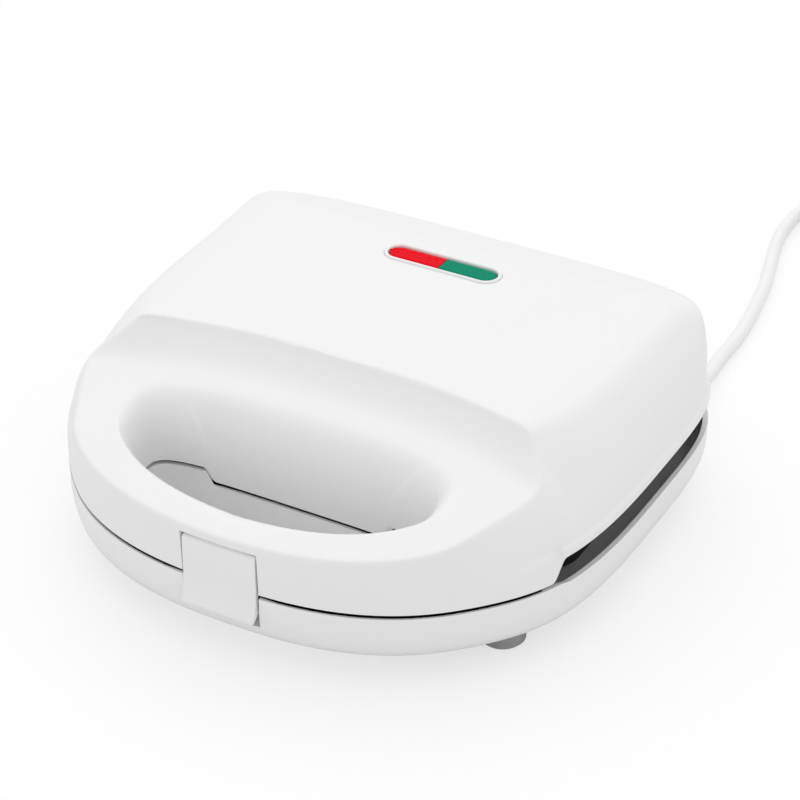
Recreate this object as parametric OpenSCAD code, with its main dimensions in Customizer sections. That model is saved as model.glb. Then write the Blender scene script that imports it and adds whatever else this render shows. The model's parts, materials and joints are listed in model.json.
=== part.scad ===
// Hinged sandwich toaster: two plates in a white two-part housing with a hand hole at the front.
// +Z is up, the front (hand hole, latch) looks along -Y, the origin is on the table under the middle.

/* [Housing] */
// Width over the side rims
body_w = 229; // [220:1:236]
// Reach of the outline in front of its widest line
body_fore = 129; // [124:1:134]
// Room behind the plates for the hinge and the cord's entry
rear_room = 21; // [20:0.5:24]
// Height of the seam between base and lid at the hand hole
seam_z = 33; // [32:0.5:34]
// Height of the lid's side rim over the table
flange_z = 43; // [42:0.5:44]
// Height of the shoulder of the lid
top_z = 82.2; // [80:0.2:86]
// Rise of the lid's top from its shoulder to its middle
crown = 1; // [0.4:0.1:1.6]
// Wall of both housings
wall = 2.6; // [2.2:0.1:2.8]
// Open line between base and lid at the seam
seam_gap = 1.2; // [0.8:0.1:1.6]
// Width of the soft shoulder along the lid's sides
shoulder_w = 36; // [32:1:40]
// Radius of the base's bottom edge
tray_r = 18; // [16:0.5:18.5]
// Height of the base's underside over the table
underside_z = 10; // [9:0.5:10.5]

/* [Ledge and hand hole] */
// Height of the ledge's front edge
ledge_front_z = 55; // [54:0.5:57]
// Slope of the ledge, rise over run
ledge_slope = 0.14; // [0.1:0.01:0.16]
// Half width of the ledge
ledge_half = 93.5; // [91:0.5:95]
// Place of the step between plateau and ledge
step_y = -28; // [-29:0.5:-26]
// Depth of the scoop in that step
scoop_run = 10; // [9:0.5:11]
// Half width of the hand pocket at the ledge
pocket_half = 69; // [66:0.5:71]
// Half width of the hand hole at the seam
hole_half = 60; // [57:0.5:61]
// Place of the hand hole's straight rear edge
hole_rear_y = -58; // [-59:0.5:-57]
// Place of the hand hole's front edge
hole_front_y = -92; // [-93:0.5:-91]
// Height of the raised lips at both ends of the hand hole
lip_h = 5.5; // [4.5:0.5:6]

/* [Cooking plates] */
// Width of a plate
plate_w = 208; // [204:1:210]
// Front edge of a plate
plate_front_y = -44; // [-45:0.5:-43]
// Depth of a plate
plate_d = 134; // [132:1:135]
// Thickness of a plate's cast metal
plate_t = 3; // [2.6:0.1:3.2]
// Depth of the bread pockets
pocket_d = 9; // [7:0.5:9.5]
// Gap between the closed plates
plate_gap = 0.6; // [0.4:0.1:1]
// Height of a plate's outer skirt
skirt_h = 8; // [7:0.5:8.5]
// Diameter of a heating element's tube
element_dia = 6.5; // [6:0.1:6.8]

/* [Latch] */
// Width of the latch tab
latch_w = 31; // [28:0.5:32]
// Diameter of the latch pin
latch_pin_dia = 3; // [2.6:0.1:3.2]

/* [Hinge] */
// Diameter of a hinge pin
hinge_pin_dia = 5; // [4:0.1:5.4]
// Diameter of the hinge knuckles
knuckle_dia = 13; // [12:0.2:13.2]
// Clearance of each pin in the knuckle that turns on it, over the diameter
pin_play = 0.16; // [0.1:0.02:0.2]

/* [Indicator] */
// Length of the coloured window
lens_l = 48; // [44:1:50]
// Width of the coloured window
lens_w = 9.6; // [9:0.1:10]
// Width of the ring around the window
bezel_w = 1.9; // [1.6:0.1:2.1]
// Distance of the window from the origin
lens_y = 60; // [58:0.5:62]

/* [Feet and cord] */
// Diameter of a foot
foot_dia = 18; // [15:0.5:19]
// Diameter of the mains cord
cord_dia = 6.2; // [6:0.1:6.6]

/* [Hidden] */
eps = 0.01;
// how far a cut runs past a face that it would else meet in one plane
under = 0.5;
far = 300;

// outline of the housings: two half superellipses that meet on the widest line; the plates fill it in depth
plate_rear_y = plate_front_y + plate_d;
rear_y = plate_rear_y + rear_room;
body_half = body_w / 2;
widest_y = 20;
body_aft = rear_y - widest_y;
front_power = 2.5;
side_power = 2.8;
rear_power = 4.3;
outline_points = 80;
// the front part of the rim ends here and the raised side rim begins
rim_break_y = -46;
bead_h = 4.2;
bead_t = 1.6;
rim_run = 5;

// lid
shoulder_run = 80;
shoulder_rear = 61;
ledge_edge_y = body_fore - widest_y + 1;
ledge_mid_y = -40;
ledge_power = 2.35;
ledge_round = 1.2;
scoop_foot_y = step_y - scoop_run;
bevel_y = rear_y - 31.5;
bevel_z = top_z - 0.8;
bevel_angle = 20;
rear_edge_z = flange_z + 3.5;
rear_edge_y = rear_y - 14;
// the base's rear wall stands up inside the sweep of the lid's lower edge
rear_wall_y = rear_y - 11.5;
rear_wall_z = flange_z + 0.5;

// hand hole
pocket_mid_y = -67;
pocket_fore = 32;
pocket_aft = 30;
pocket_power_front = 2.1;
pocket_power_rear = 3.6;
hole_mid_y = -70;
hole_power_front = 2.3;
hole_power_rear = 4;
// how much narrower the well is at the underside: at each end, in front and behind
well_taper = [9, 6, 7];
lip_x = 38;
lip_y = -76;
lip_gap = 0.8;

// plates: the mating plane is at the height of the hinge axis
mate_z = 38;
plate_mid_y = plate_front_y + plate_d / 2;
plate_corner = 18;
bread_in = 5;
bread_side = 12;
bread_rim = 12;
post_dia = 9;
plate_screw_in = plate_t + post_dia / 2 + 0.5;
plate_screw_x = plate_w / 2 - plate_screw_in;
plate_screw_sites = [[0, plate_front_y + plate_screw_in], [0, plate_rear_y - plate_screw_in],
    [-plate_screw_x, plate_mid_y], [plate_screw_x, plate_mid_y]];
boss_top = 6;
screw_dia = 3.6;
screw_head = 7;
screw_head_in = 0.5;
screw_head_h = 1.7;
screw_l = 16;
strap_screw_dia = 3;
strap_bore = 3.4;
wire_hole = 8;
// clearance over the diameter of a screw or pin in the bore that holds it
seat_slip = 0.1;

// parts stacked on each plate's back, as heights over the mating plane
back_z = pocket_d + plate_t - 0.4;
element_z = back_z + element_dia / 2 + 0.1;
strap_z = element_z + element_dia / 2;
strap_t = 1.2;
shield_gap = 2.6;
shield_z = strap_z + strap_t + shield_gap;
shield_t = 0.8;
spacer_dia = 8;
shield_w = plate_w - 32;
shield_in = plate_screw_in + post_dia / 2 + 1;
shield_d = plate_d - 2 * shield_in - 8;
shield_corner = 14;
element_half = plate_d / 2 - 29;
element_turn_x = plate_w / 2 - 58;
element_end_x = 20 - plate_w / 2;
strap_x = plate_w / 2 - 69;
strap_w = 14;

// latch
latch_face_y = -109.6;
latch_top_z = 50.4;
latch_foot_z = 22;
latch_axis = [-105, 45.8];
latch_gap = 0.7;
latch_head_gap = 1.3;
latch_pivot_dia = 6;
latch_back_y = -101.2;
catch_z = 27.2;
ear_t = 2.4;
spring_room = 5;

// hinge: axis along X
hinge_axis = [rear_y - 5.5, mate_z];
knuckle_x = [55, 69];
ear_w = 4.5;
hinge_gap = 0.5;

// feet
foot_front_x = body_half - 30.5;
foot_rear_x = body_half - 32.5;
foot_front_y = plate_front_y - 4;
foot_rear_y = rear_y - 35;
foot_sites = [[-foot_front_x, foot_front_y], [foot_front_x, foot_front_y],
    [-foot_rear_x, foot_rear_y], [foot_rear_x, foot_rear_y]];
foot_boss_dia = 12;
foot_bore = 6.4;
foot_floor_z = underside_z + 5.4;

// cord, its points chosen by hand in steps from where it leaves the base: to the coil, and on to the plug
cord_exit = [body_half - 30.5, rear_y + 1, 20];
function from_exit(way) = [for (p = way) [cord_exit[0] + p[0], cord_exit[1] + p[1], p[2]]];
cord_route = from_exit([[0, -30, 20], [0, -15, 20], [0, 0, 20], [0, 14, 15.5], [-1.4, 30, 8.5],
    [-3.6, 45, 4.2], [-4.8, 59, 3.3], [-4.8, 74, 3.3], [-6.2, 91, 3.3], [-9, 110, 3.3],
    [-12.4, 128, 3.3], [-16.6, 144, 3.3], [-20.6, 159, 3.3], [-23.6, 174, 3.3], [-24.6, 189, 3.3],
    [-23.6, 204, 3.3], [-21.6, 219, 3.3], [-20, 233, 3.3]]);
tail_route = from_exit([[22, 275, 15.7], [36, 275, 16.2], [50, 275, 17.4], [62, 275, 18.4], [73, 275, 18.5]]);
coil_mid = [cord_exit[0] + 22, cord_exit[1] + 233];
coil_r = 42;
coil_layers = 3;
cord_rest = 0.2;
plug_at = [cord_exit[0] + 66, cord_exit[1] + 275, 18.5];
plug_neck_d = 7;
plug_l = 45;
plug_pin_dia = 4.8;
plug_pin_half = 9.5;
plug_pin_l = 19;
plug_pin_in = 5;

// ---------------------------------------------------------------- shapes

function se_radius(a, b, n, p) = pow(pow(abs(cos(p)) / a, n) + pow(abs(sin(p)) / b, n), -1 / n);

// a closed curve of two half superellipses on one widest line
function ring2(a, fore, aft, n_fore, n_aft, mid_y, p) =
    let (front = sin(p) < 0, r = se_radius(a, front ? fore : aft, front ? n_fore : n_aft, p))
    [r * cos(p), mid_y + r * sin(p)];

function body_at(p, inset, n_fore) =
    ring2(body_half - inset, body_fore - inset, body_aft - inset, n_fore, rear_power, widest_y, p);

function angles(n) = [for (i = [0 : n - 1]) 360 * i / n];

// the ledge is a plane that rises to the rear
function ledge_at(y) = ledge_front_z + ledge_slope * (y + ledge_edge_y);

// side walls grow rounder from the step to the rear
function shoulder_power(y) =
    let (u = min(max((y - scoop_foot_y) / shoulder_run, 0), 1),
         v = min(max((y - rear_y + shoulder_rear) / (shoulder_run / 2), 0), 1))
    1.1 + 0.95 * u * (2 - u) + 0.3 * v;

// a closed skin over rings of equally many points, bottom ring first, with flat ends
module skin(rings) {
    n = len(rings[0]);
    m = len(rings);
    sides = [for (k = [0 : m - 2], i = [0 : n - 1])
        let (j = (i + 1) % n)
        each [[k * n + i, (k + 1) * n + i, k * n + j], [k * n + j, (k + 1) * n + i, (k + 1) * n + j]]];
    ends = [[for (i = [0 : n - 1]) i], [for (i = [0 : n - 1]) m * n - 1 - i]];
    polyhedron([for (r = rings) each r], concat(sides, ends));
}

// lid above the side rim: bead, shoulder and crowned top, made smaller by t for the hollow
module plateau_body(t) {
    foot_z = flange_z + bead_h;
    rise = top_z - t - foot_z;
    rings = concat(
        [for (c = t > 0 ? [[t + bead_t, seam_z - 5]] : [[0, flange_z], [0, foot_z - 1.4]])
            [for (p = angles(outline_points)) concat(body_at(p, c[0], side_power), c[1])]],
        [for (a = [0, 12, 24, 36, 48, 60, 72, 82, 90])
            [for (p = angles(outline_points))
                let (q = 2 / shoulder_power(body_at(p, 0, side_power)[1]),
                     inset = t + bead_t + (shoulder_w - t) * (1 - pow(cos(a), q)))
                concat(body_at(p, inset, side_power), foot_z + rise * pow(sin(a), q))]],
        [for (c = [[22, 0.75], [44, 1]])
            [for (p = angles(outline_points))
                concat(body_at(p, bead_t + shoulder_w + c[0], side_power), top_z - t + crown * c[1])]]);
    skin(rings);
}

// edge of the ledge that belongs to a point of the outline
function ledge_edge(o) =
    let (q = atan2(o[1] - ledge_mid_y, o[0]),
         r = se_radius(ledge_half, ledge_edge_y + ledge_mid_y, ledge_power, q))
    o[1] < ledge_mid_y ? [r * cos(q), ledge_mid_y + r * sin(q)]
        : [sign(o[0]) * min(abs(o[0]), ledge_half), o[1]];

// front part of the lid: wall from the seam to the crisp edge of the ledge
module ledge_body(t) {
    steps = t > 0 ? [[0, 0, -8], [0.33, 0, 0], [0.66, 0, 0], [1, 0, 0]]
        : [[0, 0, 0], [0.33, 0, 0], [0.66, 0, 0], [1, 0, -ledge_round],
           [1, ledge_round * 0.3, -ledge_round * 0.3], [1, ledge_round, 0]];
    rings = [for (s = steps) [for (p = angles(outline_points))
        let (o = body_at(p, t, front_power), e = ledge_edge(body_at(p, 0, front_power)),
             k = 1 - (t + s[1]) / 90,
             g = [e[0] * k, ledge_mid_y + (e[1] - ledge_mid_y) * k],
             f = pow(s[0], 1.25), x = o + (g - o) * f)
        concat(x, seam_z + (ledge_at(s[0] == 1 ? g[1] : e[1]) - t - seam_z) * s[0] + s[2])]];
    skin(rings);
}

module block(x0, x1, y0, y1, z0, z1) {
    translate([x0, y0, z0]) cube([x1 - x0, y1 - y0, z1 - z0]);
}

// a profile in the Y-Z plane, drawn out along X
module along_x(x0, x1, outline) {
    translate([x0, 0, 0]) rotate([90, 0, 90]) linear_extrude(x1 - x0) polygon(outline);
}

// what is cut away in front of the plateau: a concave scoop that ends on the ledge
module scoop(t) {
    along_x(-far, far, concat(
        [for (a = [90 : -15 : 0]) [scoop_foot_y + (scoop_run + t) * cos(a),
            top_z + 0.4 - (top_z + 0.4 - ledge_at(scoop_foot_y) + t) * sin(a)]],
        [[step_y + t, top_z + 20], [-far, top_z + 20], [-far, ledge_at(-far) - t - under],
         [scoop_foot_y - under, ledge_at(scoop_foot_y) - t - under]]));
}

module rear_bevel(t) {
    drop = far * tan(bevel_angle);
    translate([0, 0, -t / cos(bevel_angle)])
        along_x(-far, far, [[bevel_y, bevel_z], [bevel_y + far, bevel_z - drop],
            [bevel_y + far, far], [bevel_y - 20, far], [bevel_y - 20, bevel_z + 20 * tan(bevel_angle)]]);
}

module lid_form(t) {
    difference() {
        plateau_body(t);
        scoop(t);
        rear_bevel(t);
        block(-far, far, -far, rim_break_y + t, -far, far);
    }
    intersection() {
        ledge_body(t);
        block(-far, far, -far, step_y + t, -far, far);
    }
}

// funnel of the hand pocket, wider by t for the outside of its wall
module hand_pocket(t) {
    steps = [0, 0.12, 0.25, 0.4, 0.6, 0.8, 1];
    function rim(p) = ring2(pocket_half + t, pocket_fore + t, pocket_aft + t,
        pocket_power_front, pocket_power_rear, pocket_mid_y, p);
    function throat(p) = ring2(hole_half + t, hole_mid_y - hole_front_y + t, hole_rear_y - hole_mid_y + t,
        hole_power_front, hole_power_rear, hole_mid_y, p);
    down = [for (s = steps) [for (p = angles(outline_points))
        let (f = 1 - pow(1 - s, 1.6), x = rim(p) + (throat(p) - rim(p)) * f,
             top = ledge_at(rim(p)[1]) - under)
        concat(x, top + (seam_z - top) * pow(s, 1.6) - t * 0.9)]];
    tail = [for (p = angles(outline_points)) concat(throat(p), seam_z - 12)];
    over = [for (p = angles(outline_points)) concat(rim(p), ledge_at(rim(p)[1]) + 8)];
    skin(concat([tail], [for (i = [len(down) - 1 : -1 : 0]) down[i]], t > 0 ? [] : [over]));
}

// well of the hand hole in the base, tapering to the underside
module hand_well(t, top) {
    function well(p, s) = ring2(hole_half - well_taper[0] * s + t,
        hole_mid_y - hole_front_y - well_taper[1] * s + t, hole_rear_y - hole_mid_y - well_taper[2] * s + t,
        hole_power_front, hole_power_rear, hole_mid_y, p);
    skin([for (c = [[1, underside_z - 6], [1, underside_z], [0.62, underside_z + 4], [0.25, underside_z + 12],
                    [0, seam_z - 2], [0, top]])
        [for (p = angles(outline_points)) concat(well(p, c[0]), c[1])]]);
}

// the two ends of the hand hole, where the base stands up higher
module hole_ends(gap, z0, z1) {
    for (side = [-1, 1]) scale([side, 1, 1])
        block(lip_x - gap, far, lip_y - gap, hole_rear_y + 12 + gap, z0, z1);
}

module tray(t, n_fore) {
    arc_z = underside_z + tray_r;
    skin(concat(
        [for (a = [90 : -15 : 0])
            [for (p = angles(outline_points))
                concat(body_at(p, tray_r - (tray_r - t) * cos(a), n_fore), arc_z - (tray_r - t) * sin(a))]],
        [[for (p = angles(outline_points)) concat(body_at(p, t, n_fore), rear_wall_z + (t > 0 ? 1 : 0))]]));
}

module tray_form(t) {
    intersection() {
        tray(t, front_power);
        block(-far, far, -far, rim_break_y + t, -far, far);
    }
    intersection() {
        tray(t, side_power);
        block(-far, far, rim_break_y + t - eps, far, -far, far);
    }
}

// everything over the base's rim, but for the rear wall between the lid's knuckles
module over_rim() {
    rim_z = seam_z - seam_gap / 2;
    block(-far, far, -far, rear_wall_y, rim_z, far);
    for (side = [-1, 1]) scale([side, 1, 1])
        block(knuckle_x[0] - hinge_gap, knuckle_x[1] + hinge_gap, -far, far, rim_z, far);
}

module rod(a, b, d) {
    v = b - a;
    translate(a) rotate([0, acos(v[2] / norm(v)), atan2(v[1], v[0])]) cylinder(d = d, h = norm(v), $fn = 32);
}

module pin_x(x0, x1, at, d) {
    translate([x0, at[0], at[1]]) rotate([0, 90, 0]) cylinder(d = d, h = x1 - x0, $fn = 48);
}

module stadium(l, w, z0, z1) {
    translate([0, lens_y, z0]) linear_extrude(z1 - z0) {
        square([l - w, w], center = true);
        for (s = [-1, 1]) translate([s * (l - w) / 2, 0]) circle(d = w, $fn = 48);
    }
}

module round_slab(w, y0, d, r, z0, z1) {
    translate([0, y0 + d / 2, z0]) linear_extrude(z1 - z0) {
        square([w - 2 * r, d], center = true);
        square([w, d - 2 * r], center = true);
        for (sx = [-1, 1], sy = [-1, 1])
            translate([sx * (w / 2 - r), sy * (d / 2 - r)]) circle(r = r, $fn = 64);
    }
}

// turns a part of the upper stack into its twin below the mating plane
module below() {
    translate([0, 0, 2 * mate_z]) mirror([0, 0, 1]) children();
}

// ---------------------------------------------------------------- housings

module hinge_ears() {
    for (side = [-1, 1], x0 = [knuckle_x[0] - ear_w - hinge_gap, knuckle_x[1] + hinge_gap]) {
        x = side > 0 ? x0 : -x0 - ear_w;
        pin_x(x, x + ear_w, hinge_axis, knuckle_dia);
        block(x, x + ear_w, hinge_axis[0] - knuckle_dia / 2, hinge_axis[0] + 4,
            underside_z + 8, hinge_axis[1]);
    }
}

module hinge_pin_seats() {
    reach = knuckle_x[1] + hinge_gap + ear_w + 2;
    for (side = [-1, 1]) scale([side, 1, 1])
        pin_x(knuckle_x[0] - hinge_gap - ear_w - 1, reach, hinge_axis, hinge_pin_dia + seat_slip);
}

module plate_posts(lid) {
    for (s = plate_screw_sites)
        translate([s[0], s[1], lid ? mate_z + boss_top + 0.2 : 0])
            cylinder(d = post_dia, h = lid ? far : mate_z - boss_top - 0.2, $fn = 32);
}

module post_bores() {
    for (s = plate_screw_sites)
        translate([s[0], s[1], mate_z - 22]) cylinder(d = screw_dia + seat_slip, h = 44, $fn = 32);
}

module latch_housing(t) {
    half = latch_w / 2 + latch_gap + t;
    block(-half, half, -far, latch_back_y + t, seam_z - 14, latch_top_z + latch_head_gap + t);
}

module base_housing() {
    color("whitesmoke") difference() {
        union() {
            difference() {
                tray_form(0);
                over_rim();
            }
            intersection() {
                hand_well(wall, seam_z + lip_h);
                hole_ends(0, seam_z - 6, far);
            }
            hinge_ears();
        }
        // the hollow, which leaves the walls, posts and seats inside it
        difference() {
            tray_form(wall);
            hand_well(wall, seam_z + 30);
            latch_housing(ear_t);
            plate_posts(false);
            for (s = foot_sites)
                translate([s[0], s[1], 0]) cylinder(d = foot_boss_dia, h = foot_floor_z, $fn = 32);
            hinge_ears();
            rod([cord_exit[0], bushing_y0 + 2.8, cord_exit[2]], [cord_exit[0], far, cord_exit[2]],
                bushing_collar + 6);
            clamp_block(0, cord_exit[2] - clamp_split);
        }
        hand_well(0, seam_z + 20);
        difference() {
            latch_housing(0);
            block(-latch_w / 2 + 1, latch_w / 2 - 1, latch_axis[0] - 1.4, far, catch_z, catch_z + 3);
        }
        for (side = [-1, 1]) scale([side, 1, 1])
            pin_x(knuckle_x[0] - hinge_gap, knuckle_x[1] + hinge_gap, hinge_axis, knuckle_dia + 1.4);
        hinge_pin_seats();
        post_bores();
        for (s = foot_sites)
            translate([s[0], s[1], 0]) cylinder(d = foot_bore, h = foot_floor_z + 1, $fn = 32);
        rod([cord_exit[0], bushing_y0, cord_exit[2]], [cord_exit[0], far, cord_exit[2]], bushing_dia + 0.2);
        rod([cord_exit[0], bushing_y0 - 0.4, cord_exit[2]], [cord_exit[0], bushing_y0 + 2.8, cord_exit[2]],
            bushing_collar + 0.4);
        clamp_bores(clamp_foot_z, seat_slip);
    }
}

module lid_housing() {
    color("white") difference() {
        union() {
            lid_form(0);
            for (side = [-1, 1]) lid_knuckle(side);
        }
        // the hollow, which leaves the pocket's wall, the latch's housing and the posts inside it
        difference() {
            lid_form(wall);
            hand_pocket(wall);
            latch_housing(ear_t);
            plate_posts(true);
            for (side = [-1, 1]) lid_knuckle(side);
        }
        hand_pocket(0);
        latch_housing(0);
        // seam in front, side gap behind the rim's break, taller gap over the hinge
        difference() {
            union() {
                block(-far, far, -far, rear_edge_y, 0, seam_z + seam_gap / 2);
                along_x(-far, far, [[rim_break_y - rim_run, 0], [rear_edge_y, 0], [rear_edge_y, flange_z],
                    [rim_break_y + 1, flange_z], [rim_break_y - 1, flange_z - 2],
                    [rim_break_y - rim_run + 1, seam_z + 2], [rim_break_y - rim_run, seam_z]]);
                block(-far, far, rear_edge_y - eps, far, 0, rear_edge_z);
            }
            for (side = [-1, 1]) lid_knuckle(side);
        }
        for (side = [-1, 1]) knuckle_bore(side);
        hole_ends(lip_gap, seam_z - 6, seam_z + lip_h + lip_gap);
        pin_x(-latch_w / 2 - 4, latch_w / 2 + 4, latch_axis, latch_pin_dia + seat_slip);
        post_bores();
        stadium(lens_l + 2 * bezel_w + 0.2, lens_w + 2 * bezel_w + 0.2, top_z - 8, top_z + 8);
    }
}

module lid_knuckle(side) {
    x0 = side > 0 ? knuckle_x[0] : -knuckle_x[1];
    x1 = x0 + knuckle_x[1] - knuckle_x[0];
    pin_x(x0, x1, hinge_axis, knuckle_dia);
    block(x0, x1, hinge_axis[0] - knuckle_dia / 2, hinge_axis[0] + 3, hinge_axis[1], rear_edge_z + 8);
}

module knuckle_bore(side) {
    x0 = side > 0 ? knuckle_x[0] : -knuckle_x[1];
    pin_x(x0 - 1, x0 + knuckle_x[1] - knuckle_x[0] + 1, hinge_axis, hinge_pin_dia + pin_play);
}

// ---------------------------------------------------------------- plates

// inside point of a triangle with its distance to the sides, as [x, y, r]
function incentre(t) =
    let (a = norm(t[1] - t[2]), b = norm(t[2] - t[0]), c = norm(t[0] - t[1]), s = a + b + c,
         m = (a * t[0] + b * t[1] + c * t[2]) / s,
         area = abs((t[1][0] - t[0][0]) * (t[2][1] - t[0][1]) - (t[2][0] - t[0][0]) * (t[1][1] - t[0][1])))
    [m[0], m[1], area / s];

function shrunk(t, d) = let (m = incentre(t), c = [m[0], m[1]]) [for (v = t) c + (v - c) * (m[2] - d) / m[2]];

// the four bread pockets: two rectangles, each split along one diagonal
bread_x0 = bread_in;
bread_x1 = plate_w / 2 - bread_side;
bread_y0 = plate_front_y + bread_rim;
bread_y1 = plate_rear_y - bread_rim;
bread_half = [
    [[bread_x0, bread_y0], [bread_x1, bread_y0], [bread_x0, bread_y1]],
    [[bread_x1, bread_y1], [bread_x0, bread_y1], [bread_x1, bread_y0]]];
ridge = 2.4;
bread_draft = 7;

module bread_pockets(t, z0, z1) {
    for (side = [0, 1]) mirror([side, 0, 0])
        for (tri = bread_half) {
            wide = shrunk(tri, ridge - t);
            tight = shrunk(tri, ridge + bread_draft - t);
            skin([[for (v = wide) concat(v, z0)], [for (v = tight) concat(v, z1)]]);
        }
}

module plate() {
    z0 = mate_z + plate_gap / 2;
    difference() {
        union() {
            round_slab(plate_w, plate_front_y, plate_d, plate_corner, z0, z0 + plate_t);
            difference() {
                round_slab(plate_w, plate_front_y, plate_d, plate_corner, z0, z0 + skirt_h);
                round_slab(plate_w - 2 * plate_t, plate_front_y + plate_t, plate_d - 2 * plate_t,
                    plate_corner - plate_t, z0 - 1, z0 + skirt_h + 1);
            }
            bread_pockets(2, z0 + 1, mate_z + back_z);
            for (s = plate_screw_sites)
                translate([s[0], s[1], z0]) cylinder(d = post_dia, h = mate_z + boss_top - z0, $fn = 32);
            for (s = [-1, 1]) translate([s * strap_x, plate_mid_y, z0 + 1])
                cylinder(d = post_dia, h = mate_z + strap_z - z0 - 1, $fn = 32);
        }
        bread_pockets(0, z0 - eps, mate_z + pocket_d);
        for (s = plate_screw_sites) {
            translate([s[0], s[1], z0 - 1]) cylinder(d = screw_dia + 0.3, h = boss_top + 2, $fn = 32);
            translate([s[0], s[1], z0 - 1]) cylinder(d = screw_head + 0.4, h = 3.2, $fn = 32);
        }
        for (s = [-1, 1]) translate([s * strap_x, plate_mid_y, mate_z + strap_z - 7])
            cylinder(d = strap_screw_dia + seat_slip, h = 8, $fn = 32);
    }
}

module heater() {
    for (s = [-1, 1])
        rod([element_end_x, plate_mid_y + s * element_half, mate_z + element_z],
            [element_turn_x, plate_mid_y + s * element_half, mate_z + element_z], element_dia);
    translate([element_turn_x, plate_mid_y, mate_z + element_z])
        rotate([0, 0, -90]) rotate_extrude(angle = 180, $fn = 64)
            translate([element_half, 0]) circle(d = element_dia, $fn = 32);
}

module heater_ends() {
    for (s = [-1, 1]) {
        y = plate_mid_y + s * element_half;
        z = mate_z + element_z;
        rod([element_end_x - 5, y, z], [element_end_x, y, z], element_dia - 0.8);
        rod([element_end_x - 12, y, z], [element_end_x - 5, y, z], 2.4);
    }
}

module straps() {
    reach = element_half + element_dia / 2 + 1.6;
    for (s = [-1, 1]) difference() {
        union() {
            block(s * strap_x - strap_w / 2, s * strap_x + strap_w / 2,
                plate_mid_y - reach, plate_mid_y + reach, mate_z + strap_z, mate_z + strap_z + strap_t);
            for (e = [-1, 1]) {
                y = plate_mid_y + e * reach - strap_t / 2;
                block(s * strap_x - strap_w / 2, s * strap_x + strap_w / 2, y, y + strap_t,
                    mate_z + element_z - 1, mate_z + strap_z + eps);
            }
        }
        translate([s * strap_x, plate_mid_y, mate_z + strap_z - 1])
            cylinder(d = strap_bore, h = strap_t + 2, $fn = 32);
    }
}

module spacers() {
    for (s = [-1, 1]) translate([s * strap_x, plate_mid_y, mate_z + strap_z + strap_t]) difference() {
        cylinder(d = spacer_dia, h = shield_gap, $fn = 32);
        translate([0, 0, -1]) cylinder(d = strap_bore, h = shield_gap + 2, $fn = 32);
    }
}

module shield() {
    difference() {
        round_slab(shield_w, plate_front_y + shield_in, shield_d, shield_corner, mate_z + shield_z,
            mate_z + shield_z + shield_t);
        for (s = [-1, 1]) translate([s * strap_x, plate_mid_y, mate_z + shield_z - 1])
            cylinder(d = strap_bore, h = shield_t + 2, $fn = 32);
        // wires go through here
        for (s = [-1, 1]) translate([s * thermostat_at[0], plate_mid_y, mate_z + shield_z - 1])
            cylinder(d = wire_hole, h = shield_t + 2, $fn = 32);
    }
}

module strap_screws() {
    for (s = [-1, 1]) translate([s * strap_x, plate_mid_y, 0]) {
        translate([0, 0, mate_z + strap_z - 6.5])
            cylinder(d = strap_screw_dia, h = shield_z + shield_t - strap_z + 6.5 + eps, $fn = 32);
        translate([0, 0, mate_z + shield_z + shield_t]) cylinder(d = 2 * strap_screw_dia, h = 1.8, $fn = 32);
    }
}

module plate_screws() {
    z0 = mate_z + plate_gap / 2;
    for (s = plate_screw_sites) translate([s[0], s[1], 0]) {
        translate([0, 0, z0 + screw_head_in]) cylinder(d = screw_head, h = screw_head_h, $fn = 32);
        translate([0, 0, z0 + screw_head_in]) cylinder(d = screw_dia, h = screw_l, $fn = 32);
    }
}

module plate_coat() { color([0.12, 0.12, 0.12]) children(); }
module steel() { color([0.72, 0.73, 0.75]) children(); }

module lower_plate() { plate_coat() below() plate(); }
module upper_plate() { plate_coat() plate(); }
module lower_heater() { steel() below() heater(); }
module upper_heater() { steel() heater(); }
module lower_heater_ends() { color("ivory") below() heater_ends(); }
module upper_heater_ends() { color("ivory") heater_ends(); }
module lower_straps() { steel() below() straps(); }
module upper_straps() { steel() straps(); }
module lower_spacers() { color("ivory") below() spacers(); }
module upper_spacers() { color("ivory") spacers(); }
module lower_shield() { steel() below() shield(); }
module upper_shield() { steel() shield(); }
module lower_strap_screws() { steel() below() strap_screws(); }
module upper_strap_screws() { steel() strap_screws(); }
module lower_plate_screws() { steel() below() plate_screws(); }
module upper_plate_screws() { steel() plate_screws(); }

// ---------------------------------------------------------------- controls

thermostat_at = [plate_w / 2 - 44, plate_mid_y + element_half / 2];
thermostat_flange = [16, 2.4];
thermostat_can = [13, 7.6];
tab_x = 9.5;
tab_z = [5.4, 6.4];
fuse_at = [44 - plate_w / 2, plate_mid_y + element_half / 2];
fuse_dia = 4;
fuse_half = 6;
fuse_lead = 5;
fuse_lead_dia = 1.1;

module thermostat() {
    color("dimgray") translate([thermostat_at[0], thermostat_at[1], mate_z + back_z]) {
        cylinder(d = thermostat_flange[0], h = thermostat_flange[1], $fn = 48);
        cylinder(d = thermostat_can[0], h = thermostat_can[1], $fn = 48);
        for (s = [-1, 1]) block(s * tab_x - 3, s * tab_x + 3, -0.4, 0.4, tab_z[0], tab_z[1]);
    }
}

module thermal_fuse() {
    z = mate_z + back_z + fuse_dia / 2 + 0.05;
    color("silver") {
        rod([fuse_at[0], fuse_at[1] - fuse_half, z], [fuse_at[0], fuse_at[1] + fuse_half, z], fuse_dia);
        for (s = [-1, 1]) rod([fuse_at[0], fuse_at[1] + s * fuse_half, z],
            [fuse_at[0], fuse_at[1] + s * (fuse_half + fuse_lead), z], fuse_lead_dia);
    }
}

lens_top = top_z + 0.5;
lens_t = 4;

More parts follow.
